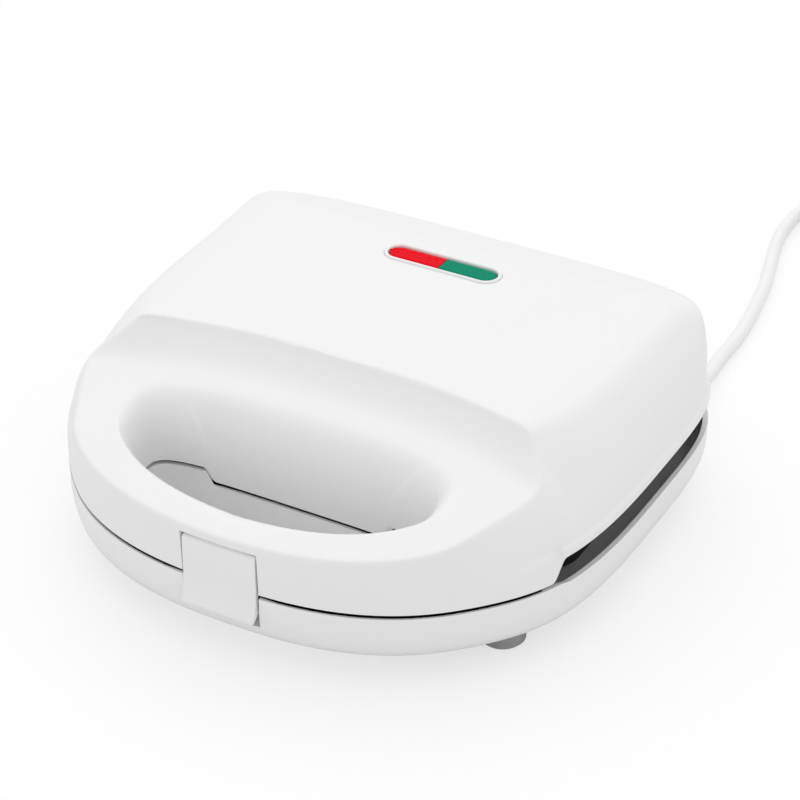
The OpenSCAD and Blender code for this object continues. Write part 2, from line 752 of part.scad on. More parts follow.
module lens_bezel() {
    color("white") difference() {
        stadium(lens_l + 2 * bezel_w, lens_w + 2 * bezel_w, lens_top - lens_t, lens_top + 0.7);
        stadium(lens_l + 0.5, lens_w + 0.5, lens_top - lens_t - 1, lens_top + 2);
    }
}

module lens_half(side) {
    intersection() {
        stadium(lens_l, lens_w, lens_top - lens_t, lens_top);
        block(side < 0 ? -far : 0.15, side < 0 ? -0.15 : far, -far, far, 0, far);
    }
}

module lens_red() { color([0.95, 0.03, 0.12]) lens_half(-1); }
module lens_green() { color([0.02, 0.5, 0.4]) lens_half(1); }

lamp_z = top_z - 8.6;
lamp_d = 5;

module lamp(side) {
    translate([side * 5, lens_y, lamp_z]) {
        rod([0, 0, 0], [side * 13, 0, 0], lamp_d);
        translate([side * 13, 0, 0]) sphere(d = lamp_d, $fn = 32);
    }
}

module lamp_red() { color([1, 0.55, 0.4]) lamp(-1); }
module lamp_green() { color([0.6, 0.95, 0.8]) lamp(1); }

module lamp_holder() {
    w = lens_l + 2;
    z0 = lamp_z - lamp_d / 2 - 1.6;
    color("white") difference() {
        translate([-w / 2, lens_y - 8, z0]) cube([w, 16, lens_top - lens_t - z0]);
        translate([-w / 2 + 1.6, lens_y - 6.4, z0 + 1.6]) cube([w - 3.2, 12.8, far]);
        translate([-w / 2 - 1, lens_y - 2, z0 + 1.6]) cube([w + 2, 4, 2.6]);
    }
}

// ---------------------------------------------------------------- latch

module latch() {
    face = latch_face_y;
    color("white") difference() {
        union() {
            along_x(-latch_w / 2, latch_w / 2, concat(
                [[face + 2.9, latch_top_z], [face + 1.3, latch_top_z], [face + 0.4, latch_top_z - 0.8],
                 [face + 0.1, latch_top_z - 1.6], [face, latch_top_z - 2.6],
                 [face, 34], [face - 0.4, 29], [face - 1.3, 25.4], [face - 2.4, 23.2],
                 [face - 2.4, latch_foot_z + 0.3], [face - 2.1, latch_foot_z], [face - 1.6, latch_foot_z],
                 [face + 0.9, 24.2], [latch_axis[0] - 0.2, 24.2], [latch_axis[0], 24.6],
                 [latch_axis[0], 26.2], [face + 2.1, 27], [face + 2.5, 34]]));
            pin_x(-latch_w / 2, latch_w / 2, latch_axis, latch_pivot_dia);
        }
        pin_x(-latch_w, latch_w, latch_axis, latch_pin_dia + pin_play);
        // room for the spring
        pin_x(-spring_room, spring_room, latch_axis, latch_pivot_dia + 1);
        block(-spring_room, spring_room, face + 2.5, 0, 0, far);
    }
}

module latch_pin() {
    reach = latch_w / 2 + latch_gap + ear_t - 0.2;
    steel() pin_x(-reach, reach, latch_axis, latch_pin_dia);
}

// close-wound torsion spring: its turns as one grooved sleeve, with two legs
module latch_spring() {
    wire = 0.6;
    turns = 7;
    pitch = 0.62;
    inner = latch_pin_dia / 2 + 0.2;
    half = turns * pitch / 2;
    leg = 6;
    steel() {
        translate([-half, latch_axis[0], latch_axis[1]]) rotate([0, 90, 0]) rotate_extrude($fn = 32)
            polygon(concat([[inner, 0]],
                [for (i = [0 : turns - 1]) each [[inner + wire * 0.6, i * pitch],
                    [inner + wire, (i + 0.3) * pitch], [inner + wire, (i + 0.7) * pitch]]],
                [[inner + wire * 0.6, turns * pitch], [inner, turns * pitch]]));
        for (s = [-1, 1])
            rod([s * (half - 0.4), latch_axis[0] + s * (inner + 0.1), latch_axis[1]],
                [s * (half - 0.4), latch_axis[0] + s * (inner + 0.1), latch_axis[1] - leg], wire * 0.8);
    }
}

// ---------------------------------------------------------------- hinge, wiring, cord entry, feet

module hinge_pin(side) {
    x0 = knuckle_x[0] - hinge_gap - ear_w + 0.3;
    x1 = knuckle_x[1] + hinge_gap + ear_w + 1;
    steel() pin_x(side > 0 ? x0 : -x1, side > 0 ? x1 : -x0, hinge_axis, hinge_pin_dia);
}

module hinge_pin_left() { hinge_pin(-1); }
module hinge_pin_right() { hinge_pin(1); }

// sleeved wires from the terminal block up into the lid, close in front of the hinge axis
module loom_sleeve() {
    y = hinge_axis[0] - hinge_pin_dia - 0.5;
    route = [[terminal_at[0], terminal_at[1] + terminal_size[1] / 2, 18],
        [loom_x, terminal_at[1] + terminal_size[1] / 2, 18], [loom_x, y, 24], [loom_x, y, rear_edge_z - 1.5]];
    color("ivory") for (i = [1 : len(route) - 1]) {
        rod(route[i - 1], route[i], loom_dia);
        translate(route[i]) sphere(d = loom_dia, $fn = 32);
    }
}

loom_x = 14;
loom_dia = 5;
terminal_at = [24, rear_y - 29, underside_z + wall];
terminal_size = [22, 10, 11];
terminal_bore = 3.6;

module terminal_block() {
    color("ivory") translate(terminal_at) difference() {
        cube(terminal_size);
        for (i = [0 : 2]) translate([4 + 7 * i, terminal_size[1] / 2, 6])
            cylinder(d = terminal_bore, h = terminal_size[2], $fn = 32);
    }
}

bushing_dia = 10.2;
bushing_collar = 12;
bushing_y0 = rear_y - 17.6;
bushing_y1 = rear_y - 3.8;

module cord_bushing() {
    x = cord_exit[0];
    z = cord_exit[2];
    color("whitesmoke") difference() {
        union() {
            rod([x, bushing_y0 + 1, z], [x, cord_exit[1], z], bushing_dia);
            rod([x, bushing_y0, z], [x, bushing_y0 + 2.6, z], bushing_collar);
            rod([x, bushing_y1, z], [x, bushing_y1 + 2, z], bushing_collar);
        }
        rod([x, bushing_y0 - 1, z], [x, cord_exit[1] + 1, z], cord_dia);
    }
}

// clamp behind the bushing: a seat in the base and a bar on top, with the cord between them
clamp_y = [rear_y - 26, rear_y - 20];
clamp_half = 9.6;
clamp_split = 0.15;
clamp_top_z = cord_exit[2] + 5.6;
clamp_screw_x = 6.4;
clamp_screw_dia = 2.4;
clamp_foot_z = underside_z + 4;

module clamp_block(z0, z1) {
    block(cord_exit[0] - clamp_half, cord_exit[0] + clamp_half, clamp_y[0], clamp_y[1], z0, z1);
}

module clamp_bores(z0, slip) {
    rod([cord_exit[0], clamp_y[0] - 1, cord_exit[2]], [cord_exit[0], clamp_y[1] + 1, cord_exit[2]], cord_dia);
    for (s = [-1, 1]) translate([cord_exit[0] + s * clamp_screw_x, (clamp_y[0] + clamp_y[1]) / 2, z0])
        cylinder(d = clamp_screw_dia + slip, h = clamp_top_z + 1 - z0, $fn = 24);
}

module cord_clamp() {
    color("ivory") difference() {
        clamp_block(cord_exit[2] + clamp_split, clamp_top_z);
        clamp_bores(clamp_foot_z, 2 * seat_slip);
    }
}

module cord_clamp_screws() {
    steel() for (s = [-1, 1])
        translate([cord_exit[0] + s * clamp_screw_x, (clamp_y[0] + clamp_y[1]) / 2, clamp_foot_z + 0.2]) {
            cylinder(d = clamp_screw_dia, h = clamp_top_z - clamp_foot_z - 0.2 + eps, $fn = 24);
            translate([0, 0, clamp_top_z - clamp_foot_z - 0.2])
                cylinder(d = 2 * clamp_screw_dia, h = 1.6, $fn = 24);
        }
}

module foot(site) {
    color([0.5, 0.5, 0.5]) translate([site[0], site[1], 0]) {
        top = underside_z - 0.05;
        rotate_extrude($fn = 64) polygon([[0, 0], [foot_dia / 2 - 1, 0], [foot_dia / 2, 1],
            [foot_dia / 2, top - 2.35], [foot_dia / 2 - 1.5, top], [0, top]]);
        cylinder(d = foot_bore - 0.2, h = foot_floor_z - 0.4, $fn = 32);
        cylinder(d = 5, h = foot_floor_z + 0.6, $fn = 32);
        translate([0, 0, foot_floor_z + 0.05]) cylinder(d1 = 8, d2 = 6, h = 1.4, $fn = 32);
    }
}

module foot_front_left() { foot(foot_sites[0]); }
module foot_front_right() { foot(foot_sites[1]); }
module foot_rear_left() { foot(foot_sites[2]); }
module foot_rear_right() { foot(foot_sites[3]); }

// ---------------------------------------------------------------- cord and plug

cord_sides = 10;

// a ring of the cord around one point of its route, square to the way through it
function cord_ring(route, i) =
    let (a = route[max(i - 1, 0)], b = route[min(i + 1, len(route) - 1)], d = (b - a) / norm(b - a),
         side = cross(d, [0, 0, 1]) / norm(cross(d, [0, 0, 1])), up = cross(side, d))
    [for (k = [0 : cord_sides - 1]) let (w = 360 * k / cord_sides)
        route[i] + cord_dia / 2 * (cos(w) * side + sin(w) * up)];

module cord(route) {
    color("white") skin([for (i = [0 : len(route) - 1]) cord_ring(route, i)]);
}

module mains_cord() { cord(cord_route); }
module cord_tail() { cord(tail_route); }

module cord_coil() {
    color("white") translate([coil_mid[0], coil_mid[1], 0]) rotate_extrude($fn = 96)
        translate([coil_r - cord_dia / 2, cord_rest]) square([cord_dia, cord_dia * coil_layers]);
}

module plug_body() {
    color("white") translate(plug_at) rotate([0, 90, 0]) difference() {
        rotate_extrude($fn = 64) polygon([[0, 0], [5, 0], [6, 12], [13, 18], [17.5, 24], [18.4, 30],
            [18.4, plug_l - 1], [17.4, plug_l], [0, plug_l]]);
        translate([0, 0, -1]) cylinder(d = cord_dia, h = plug_neck_d + 1, $fn = 32);
        for (s = [-1, 1]) translate([0, s * plug_pin_half, plug_l - plug_pin_in])
            cylinder(d = plug_pin_dia, h = plug_pin_in + 1, $fn = 32);
    }
}

module plug_pins() {
    steel() for (s = [-1, 1]) translate(plug_at + [0, s * plug_pin_half, 0]) {
        rod([plug_l - plug_pin_in, 0, 0], [plug_l + plug_pin_l - plug_pin_dia / 2, 0, 0], plug_pin_dia);
        translate([plug_l + plug_pin_l - plug_pin_dia / 2, 0, 0]) sphere(d = plug_pin_dia, $fn = 32);
    }
}

base_housing();
lid_housing();
lower_plate();
upper_plate();
lower_heater();
upper_heater();
lower_heater_ends();
upper_heater_ends();
lower_straps();
upper_straps();
lower_spacers();
upper_spacers();
lower_shield();
upper_shield();
lower_strap_screws();
upper_strap_screws();
lower_plate_screws();
upper_plate_screws();
thermostat();
thermal_fuse();
lens_bezel();
lens_red();
lens_green();
lamp_holder();
lamp_red();
lamp_green();
latch();
latch_pin();
latch_spring();
hinge_pin_left();
hinge_pin_right();
loom_sleeve();
terminal_block();
cord_bushing();
cord_clamp();
cord_clamp_screws();
foot_front_left();
foot_front_right();
foot_rear_left();
foot_rear_right();
mains_cord();
cord_coil();
cord_tail();
plug_body();
plug_pins();
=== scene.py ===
# Sandwich toaster with a hinged lid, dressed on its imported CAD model.
# Metres, +Z up, the front with hand hole and latch looks along -Y.

import json
from math import atan2, cos, hypot, log, pi, radians, sin, sqrt, tan

import bmesh
import bpy
import numpy as np
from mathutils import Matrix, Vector

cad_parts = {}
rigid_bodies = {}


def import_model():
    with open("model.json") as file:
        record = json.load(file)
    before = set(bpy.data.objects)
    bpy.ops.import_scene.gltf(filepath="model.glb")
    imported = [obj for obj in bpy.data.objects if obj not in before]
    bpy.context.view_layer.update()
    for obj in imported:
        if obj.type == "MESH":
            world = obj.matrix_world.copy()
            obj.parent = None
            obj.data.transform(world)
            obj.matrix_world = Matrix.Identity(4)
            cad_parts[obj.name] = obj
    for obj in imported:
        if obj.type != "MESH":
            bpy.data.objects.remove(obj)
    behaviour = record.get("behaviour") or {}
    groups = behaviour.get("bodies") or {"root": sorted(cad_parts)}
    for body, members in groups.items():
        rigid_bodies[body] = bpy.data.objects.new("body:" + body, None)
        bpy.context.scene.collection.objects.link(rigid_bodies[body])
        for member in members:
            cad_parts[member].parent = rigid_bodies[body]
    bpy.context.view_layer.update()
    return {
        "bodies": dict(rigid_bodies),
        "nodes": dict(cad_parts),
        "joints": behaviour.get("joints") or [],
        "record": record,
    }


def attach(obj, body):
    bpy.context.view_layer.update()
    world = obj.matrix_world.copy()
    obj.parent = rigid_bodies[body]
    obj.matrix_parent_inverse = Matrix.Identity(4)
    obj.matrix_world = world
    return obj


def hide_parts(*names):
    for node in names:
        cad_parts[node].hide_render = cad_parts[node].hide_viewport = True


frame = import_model()
nodes = frame["nodes"]
scene = bpy.context.scene


# ---- Camera --------------------------------------------------------------
# The photograph is taken with a long lens from above the front right corner.
camera_at = (0.4139, -0.7194, 0.5797)
camera_turn = 29.08
camera_drop = 32.48
camera_lens = 113.9

camera = bpy.data.objects.new("camera", bpy.data.cameras.new("camera"))
camera.location = camera_at
camera.rotation_euler = (radians(90 - camera_drop), 0, radians(camera_turn))
camera.data.lens = camera_lens
camera.data.sensor_width = 36
camera.data.clip_end = 50
scene.collection.objects.link(camera)
scene.camera = camera
scene.view_settings.view_transform = "Standard"


# ---- Shader maths and materials' common ground -----------------------------
# One wrapper writes node maths as Python expressions, and one method makes every node, in the
# materials, in the world and in the trees that grow screws and ribs.
class Link:
    def __init__(self, tree, socket):
        self.tree = tree
        self.socket = socket

    def _math(self, operation, *others, swap=False):
        values = (*others, self) if swap else (self, *others)
        return node_of(self.tree, "ShaderNodeMath", {"operation": operation}, dict(enumerate(values)))

    def __add__(self, other):
        return self._math("ADD", other)

    __radd__ = __add__

    def __sub__(self, other):
        return self._math("SUBTRACT", other)

    def __rsub__(self, other):
        return self._math("SUBTRACT", other, swap=True)

    def __mul__(self, other):
        return self._math("MULTIPLY", other)

    __rmul__ = __mul__

    def wave(self):
        return self._math("COSINE")

    def at_least(self, other):
        return self._math("MAXIMUM", other)


def node_of(owner, kind, settings=None, inputs=None, output=0):
    """A node in a material, a world or a tree: its settings, then its sockets' values or links."""
    tree = getattr(owner, "node_tree", owner)
    node = tree.nodes.new(kind)
    for name, value in (settings or {}).items():
        if name == "stops":
            for element, (place, colour) in zip(node.color_ramp.elements, value):
                element.position = place
                element.color = colour
        else:
            setattr(node, name, value)
    join(tree, node, inputs or {})
    return Link(tree, node.outputs[output]) if node.outputs else None


def join(tree, node, inputs):
    """Sets a node's sockets: a link joins, a list of links all join, and anything else is the value."""
    for name, value in inputs.items():
        for one in value if isinstance(value, list) else [value]:
            if isinstance(one, Link):
                tree.links.new(one.socket, node.inputs[name])
            else:
                node.inputs[name].default_value = one


def finish_named(name):
    """A new material and its shader."""
    material = bpy.data.materials.new(name)
    material.use_nodes = True
    return material, material.node_tree.nodes["Principled BSDF"]


def place_on_piece(material):
    return node_of(material, "ShaderNodeTexCoord", output="Object")


def shade(material, shader, **links):
    """Joins links to the shader's sockets, by their names with underscores for spaces."""
    join(material.node_tree, shader, {name.replace("_", " "): link for name, link in links.items()})


def between(material, share, dark, light):
    """A colour between two, by a share from 0 to 1."""
    return node_of(material, "ShaderNodeMix", {"data_type": "RGBA"},
                   {0: share, 6: (*dark, 1), 7: (*light, 1)}, output=2)


def noise(material, place, scale, detail):
    return node_of(material, "ShaderNodeTexNoise", {}, {"Vector": place, "Scale": scale, "Detail": detail})


def raised(material, strength, depth, height):
    return node_of(material, "ShaderNodeBump", {}, {
        "Strength": strength, "Distance": depth, "Height": height})


def faded(colour, share):
    return tuple(c * share for c in colour)


def moulded_plastic(name, colour, roughness, wave=0.06, grain=0.02):
    """Never quite even: a slow wave from sink marks and the fine grain of the mould."""
    material, shader = finish_named(name)
    place = place_on_piece(material)
    slow = noise(material, place, 28, 1)
    fine = noise(material, place, 2600, 2)
    tint = between(material, slow, faded(colour, 0.985), colour)
    bump = raised(material, 0.18, 0.0004, slow * wave + fine * grain)
    shade(material, shader, Base_Color=tint, Roughness=fine * 0.05 + roughness, Normal=bump)
    shader.inputs["Specular IOR Level"].default_value = 0.5
    return material


# ---- Mains cord ------------------------------------------------------------
# White round PVC lead, 0.92 m from its clamp to the plug. The photograph shows its first stretch;
# the rest lies in a neat coil of two and a quarter turns, just right of the view, with its plug.
MM = 0.001
cord_diameter = 6.2 * MM
coil_middle = (106, 345)
coil_radius = 42
cord_run = [(84, 82, 20), (84, 97, 20), (84, 112, 20), (84, 126, 15.5), (82.6, 142, 8.5),
            (80.4, 157, 4.2), (79.2, 171, 3.3), (79.2, 186, 3.3), (77.8, 203, 3.3), (75, 222, 3.3),
            (71.6, 240, 3.3), (67.4, 256, 3.3), (63.4, 271, 3.3), (60.4, 286, 3.3), (59.4, 301, 3.3),
            (60.4, 316, 3.3), (62.4, 331, 3.3)]
cord_end = [(120, 387, 16.2), (134, 387, 17.4), (146, 387, 18.4), (157, 387, 18.5)]
coil_turns = 2.25
coil_steps = 54


def smooth(u):
    u = np.clip(u, 0, 1)
    return u * u * (3 - 2 * u)


def new_piece(name, points, faces, edges=()):
    """A new object from points in millimetres."""
    mesh = bpy.data.meshes.new(name)
    mesh.from_pydata([tuple(c * MM for c in point) for point in points], edges, faces)
    piece = bpy.data.objects.new(name, mesh)
    scene.collection.objects.link(piece)
    return piece


def coil_point(turn):
    """The cord climbs by its own diameter in the last quarter of each turn."""
    climbs = sum(float(smooth((turn - over) / 0.25)) for over in (0.75, 1.75))
    angle = pi - 2 * pi * turn
    return (coil_middle[0] + coil_radius * cos(angle), coil_middle[1] + coil_radius * sin(angle),
            3.3 + 6.2 * climbs)


coil = [coil_point(coil_turns * i / coil_steps) for i in range(coil_steps + 1)]


def through(points, parts=4):
    """A smooth line through points, each gap in so many parts (Catmull-Rom)."""
    p = [Vector(q) for q in points]
    p = [2 * p[0] - p[1]] + p + [2 * p[-1] - p[-2]]
    line = []
    for a, b, c, d in zip(p, p[1:], p[2:], p[3:]):
        for k in range(parts):
            t = k / parts
            line.append(0.5 * (2 * b + (c - a) * t + (2 * a - 5 * b + 4 * c - d) * t * t
                               + (3 * b - a - 3 * c + d) * t ** 3))
    return line + [p[-2]]


cord_line = [q * MM for q in through(cord_run + coil + cord_end)]
cord_curve = bpy.data.curves.new("mains_lead", "CURVE")
cord_curve.dimensions = "3D"
cord_curve.bevel_depth = cord_diameter / 2
cord_curve.bevel_resolution = 5
cord_curve.use_fill_caps = True
spline = cord_curve.splines.new("POLY")
spline.points.add(len(cord_line) - 1)
for point, place in zip(spline.points, cord_line):
    point.co = (*place, 1)
mains_lead = bpy.data.objects.new("mains_lead", cord_curve)
scene.collection.objects.link(mains_lead)
cord_white = moulded_plastic("cord_white", (0.9, 0.9, 0.895), 0.42)
mains_lead.data.materials.append(cord_white)
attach(mains_lead, "base")
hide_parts("mains_cord", "cord_coil", "cord_tail")


# ---- Lid housing -------------------------------------------------------------
# One white moulding: plateau with a concave scoop down to the sloping ledge, and a hand pocket
# whose funnel goes through to the seam. Its skin is one net of columns and rows: a column runs
# from the outer rim up the wall and over the top into the pocket's throat.
body_half = 114.5
body_fore = 129
body_aft = 91
widest_y = 20
rear_power = 4.3
seam_z = 33
seam_half_gap = 0.9
flange_z = 43
bead_top_z = 47.2
bead_out = 1.6
rear_rim_y = 97
rear_rim_z = 46.5
break_y = -46
top_z = 82.2
crown = 1.0
crown_reach = 84
crown_y = 26
shoulder_w = 36
step_y = -22.5
step_bow = 9
scoop_run = 15
scoop_over = 1.5
scoop_foot_y = -36
ledge_front_z = 55
ledge_slope = 0.215
ledge_edge_y = body_fore - widest_y + 1
ledge_mid_y = -46
ledge_half = 94.5
ledge_power = 2.25
bevel_y = 79.5
bevel_z = top_z - 0.8
bevel_angle = 20
pocket_half = 67
pocket_mid_y = -66
pocket_fore = 32
pocket_aft = 21
hole_half = 60
hole_mid_y = -67
hole_fore = 22
hole_aft = 12
lip_x = 38
lip_y = -73
lip_h = 5.5
scoop_turn = -29
wall = 2.6


def superellipse(a, b, n, p):
    return (abs(cos(p) / a) ** n + abs(sin(p) / b) ** n) ** (-1 / n)


def ring2(a, fore, aft, n_fore, n_aft, mid_y, p):
    front = sin(p) < 0
    r = superellipse(a, fore if front else aft, n_fore if front else n_aft, p)
    return np.array((r * cos(p), mid_y + r * sin(p)))


def fore_power(y):
    """How square the outline's front half is: a little rounder at the very front."""
    return 2.5 + 0.3 * smooth((y + 84) / 50)


def front_power(p):
    """The same for the column at p."""
    rough = ring2(body_half, body_fore, body_aft, 2.6, rear_power, widest_y, p)
    return float(fore_power(rough[1]))


def outline(p):
    """Outline of both housings: the sides stand a little prouder than the front."""
    return ring2(body_half, body_fore, body_aft, front_power(p), rear_power, widest_y, p)


def further_in(p, inset):
    """Where the column at p meets the outline made smaller: level with its start, but radial at the rear."""
    start = outline(p)
    behind = start[1] > widest_y
    power = rear_power if behind else front_power(p)
    depth = (body_aft if behind else body_fore) - inset
    across = (body_half - inset) * max(1 - (abs(start[1] - widest_y) / depth) ** power, 0.02) ** (1 / power)
    level = atan2(start[1] - widest_y, across * np.sign(start[0]))
    turn = (p - level + pi) % (2 * pi) - pi
    q = level + turn * float(smooth((start[1] - 20) / 45))
    return ring2(body_half - inset, body_fore - inset, body_aft - inset, front_power(p), rear_power,
                 widest_y, q)


def ledge_at(y):
    return ledge_front_z + ledge_slope * (y + ledge_edge_y)


def soft_min(a, b, k):
    h = np.clip(0.5 + 0.5 * (b - a) / k, 0, 1)
    return b + (a - b) * h - k * h * (1 - h)


def scoop_height(x, y):
    """Concave quarter from the plateau's bowed edge down to the ledge, and the ledge before it."""
    edge_y = step_y - step_bow * np.abs(x / crown_reach) ** 3
    u = np.clip((y - edge_y + scoop_run) / scoop_run, 0, 1)
    high = top_z + scoop_over
    curve = high - (high - ledge_at(y)) * np.sqrt(1 - u * u)
    return np.where(y >= edge_y, high + (y - edge_y) * 4, curve)


def top_height(x, y):
    """The plateau with its slight crown, the rear bevel and the scoop."""
    off_crown = (x / crown_reach) ** 2 + ((y - crown_y) / crown_reach) ** 2
    plateau = top_z + crown * np.clip(1 - off_crown, 0, 1)
    bevel = bevel_z - (y - bevel_y) * tan(radians(bevel_angle))
    return soft_min(soft_min(plateau, bevel, 0.4), scoop_height(x, y), 5.5)


def ledge_edge(o):
    q = atan2(o[1] - ledge_mid_y, o[0])
    if o[1] < ledge_mid_y:
        r = superellipse(ledge_half, ledge_edge_y + ledge_mid_y, ledge_power, q)
        return np.array((r * cos(q), ledge_mid_y + r * sin(q)))
    return np.array((np.sign(o[0]) * min(abs(o[0]), ledge_half), o[1]))


def shoulder_power(y):
    u = np.clip((y - scoop_foot_y) / 80, 0, 1)
    return 1.38 + 0.67 * u * (2 - u) + 0.3 * np.clip((y - 50) / 40, 0, 1) + 0.3 * smooth((-31 - y) / 18)


def half_width(y):
    """Half the body's width at y, with straight sides behind its widest place."""
    power = fore_power(y)
    ahead = np.clip((widest_y - y) / body_fore, 0, 0.99)
    return body_half * (1 - ahead ** power) ** (1 / power)


def lid_rim_height(y):
    step = smooth((y - break_y + 5.5) / 6)
    rear = smooth((y - rear_rim_y + 1) / 2)
    low = seam_z + seam_half_gap
    return low + (flange_z - low) * step + (rear_rim_z - flange_z) * rear


def spaced(path, count, corners=0.0):
    """The path again in so many points, evenly along it, and closer where it turns: so many mm a radian."""
    gaps = np.diff(path, axis=0)
    steps = np.sqrt((gaps ** 2).sum(axis=1))
    ahead = gaps / np.maximum(steps, 1e-9)[:, None]
    turns = np.concatenate(([0], np.arccos(np.clip((ahead[1:] * ahead[:-1]).sum(axis=1), -1, 1))))
    along = np.concatenate(([0], np.cumsum(steps + corners * turns)))
    want = np.linspace(0, along[-1], count)
    return np.stack([np.interp(want, along, path[:, k]) for k in range(3)], axis=1)


def rounded(path, reach):
    """The path with its corners rounded over a reach in steps of the path, its ends kept."""
    steps = np.arange(-3 * reach, 3 * reach + 1)
    weight = np.exp(-0.5 * (steps / reach) ** 2)
    weight /= weight.sum()
    before = 2 * path[0] - path[3 * reach:0:-1]
    after = 2 * path[-1] - path[-2:-3 * reach - 2:-1]
    long = np.concatenate((before, path, after))
    return np.stack([np.convolve(long[:, k], weight, "valid") for k in range(3)], axis=1)


wall_steps = 120
edge_share = 0.76
shoulder_over = 3.6
corner_w = 10
corner_power = 2.3


def front_wall(o, u):
    """The front wall leans in from the seam, and passes the ledge at its crisp edge."""
    edge = ledge_edge(o)
    rise = ledge_at(edge[1]) - seam_z
    start = edge + (np.array((0, ledge_mid_y)) - edge) * 0.09
    before = o + np.outer(u / edge_share, edge - o)
    after = edge + np.outer((u - edge_share) / (1 - edge_share), start - edge)
    plan = np.where(u[:, None] < edge_share, before, after)
    return np.column_stack((plan, seam_z + rise * (u / edge_share) ** 0.8))


def over_bead(inset, width, power):
    """A wall's height by how far in it is: over a small round bead, then round up to the plateau."""
    t = np.clip((inset - bead_out) / width, 0, 1)
    height = bead_top_z + (top_z + shoulder_over - bead_top_z) * (1 - (1 - t) ** power) ** (1 / power)
    bead = bead_top_z - 1.4 + 1.4 * np.sqrt(np.clip(inset / bead_out, 0, 1))
    return np.where(inset < bead_out, bead, height)


def shoulder(x, y):
    """The long soft shoulder on both sides, as a height anywhere on the lid."""
    return over_bead(half_width(y) - np.abs(x), shoulder_w, shoulder_power(y))


def side_wall(p, u):
    """The side wall: the long shoulder across, and a tighter one round the rear corners."""
    y = outline(p)[1]
    reach = np.interp(y, (break_y, -8), (17, bead_out + shoulder_w))
    bent = np.interp(y, (break_y, -8), (log(11 / 17) / log(edge_share), 1))
    inset = u ** bent * reach
    plan = np.array([further_in(p, t) for t in inset])
    side = shoulder(plan[:, 0], plan[:, 1])
    corner = over_bead(inset, corner_w, corner_power)
    rear = float(smooth((y - widest_y) / 30))
    return np.column_stack((plan, side * (1 - rear) + soft_min(side, corner, 3.0) * rear))


def crispness(y):
    """How soft the wall turns over into the top: crisp round the ledge, soft round the plateau."""
    return 1.5 + 4.5 * smooth((y + 42) / 42)


def lid_walls(p, rim_spot):
    """The outside of the lid from its outer rim over the wall and the top to the hand pocket's rim."""
    o = outline(p)
    rim = float(lid_rim_height(o[1]))
    u = np.linspace(0, 1, wall_steps) ** 2.0
    part = float(smooth((o[1] + 88) / 44))
    wall_line = front_wall(o, u) * (1 - part) + side_wall(p, u) * part
    across = np.linspace(0, 1, 400)[1:]
    plan = wall_line[-1, :2] + np.outer(across, rim_spot - wall_line[-1, :2])
    beyond = np.column_stack((plan, wall_line[-1, 2] * (1 - part) + shoulder(plan[:, 0], plan[:, 1]) * part))
    whole = np.vstack((wall_line, beyond))
    top = top_height(whole[:, 0], whole[:, 1])
    whole[:, 2] = soft_min(whole[:, 2], top, crispness(whole[:, 1]))
    foot = np.linspace(rim, max(whole[0, 2], rim + 0.2), 9)[:-1]
    lower = np.column_stack((np.tile(o, (len(foot), 1)), foot))
    whole[:, 2] = np.maximum(whole[:, 2], foot[-1])
    return np.vstack((lower, whole))


def pocket_angle(p):
    """Columns from in front of the scoop run to the pocket's front and ends, all others to its rear."""
    side = 1 if cos(p) >= 0 else -1
    rise = np.degrees(atan2(sin(p), abs(cos(p))))
    q = np.interp(rise, (-90, scoop_turn, 90), (-90, 0, 90))
    return radians(q) if side > 0 else pi - radians(q)


def pocket_rim(p):
    return ring2(pocket_half, pocket_fore, pocket_aft, 2.1, 3.6, pocket_mid_y, p)


def throat(p, grow=0.0):
    return ring2(hole_half + grow, hole_fore + grow, hole_aft + grow, 2.3, 4.0, hole_mid_y, p)


def throat_height(spot, gap):
    """The seam inside the hand hole: at both ends the base stands up as a lip."""
    ends = smooth((abs(spot[0]) - lip_x + 2) / 4) * smooth((spot[1] - lip_y + 2) / 4)
    return seam_z + gap + lip_h * float(ends)


def inner_line(line, rows, soft_steps=8, over=1):
    """The inside of a wall along its outside, one wall further in, from its far end back to its start."""
    ahead = np.gradient(rounded(line, soft_steps), axis=0)
    level = np.hypot(ahead[:, 0], ahead[:, 1])
    whole = line[-1, :2] - line[0, :2]
    plain = ahead[:, :2] / np.maximum(level, 0.02)[:, None]
    onward = np.where(level[:, None] > 0.02, plain, whole / hypot(*whole))
    onward *= np.where(onward @ whole < 0, -1, 1)[:, None]
    run = (ahead[:, :2] * onward).sum(axis=1)
    length = np.hypot(run, ahead[:, 2])
    inward = np.column_stack((onward * (ahead[:, 2] / length)[:, None], -run / length))
    inside = line + inward * wall * over
    inside = spaced(inside, rows)
    inside[0, 2] = line[0, 2]
    inside[-1, 2] = line[-1, 2]
    return inside[::-1]


line_step = 0.3


def even_line(whole, mid, ends=6, soft=3):
    """The path in even steps with its corners rounded, and the step where its part number mid begins."""
    reach = np.sqrt((np.diff(whole, axis=0) ** 2).sum(axis=1))
    fine = spaced(whole, int(reach.sum() / line_step))
    along = np.arange(len(fine)) * line_step
    off_ends = (smooth((along - ends) / 4) * smooth((along[-1] - along - 3) / 3))[:, None]
    line = rounded(fine, 1) * (1 - off_ends) + rounded(fine, soft) * off_ends
    return line, int(reach[:mid].sum() / line_step)


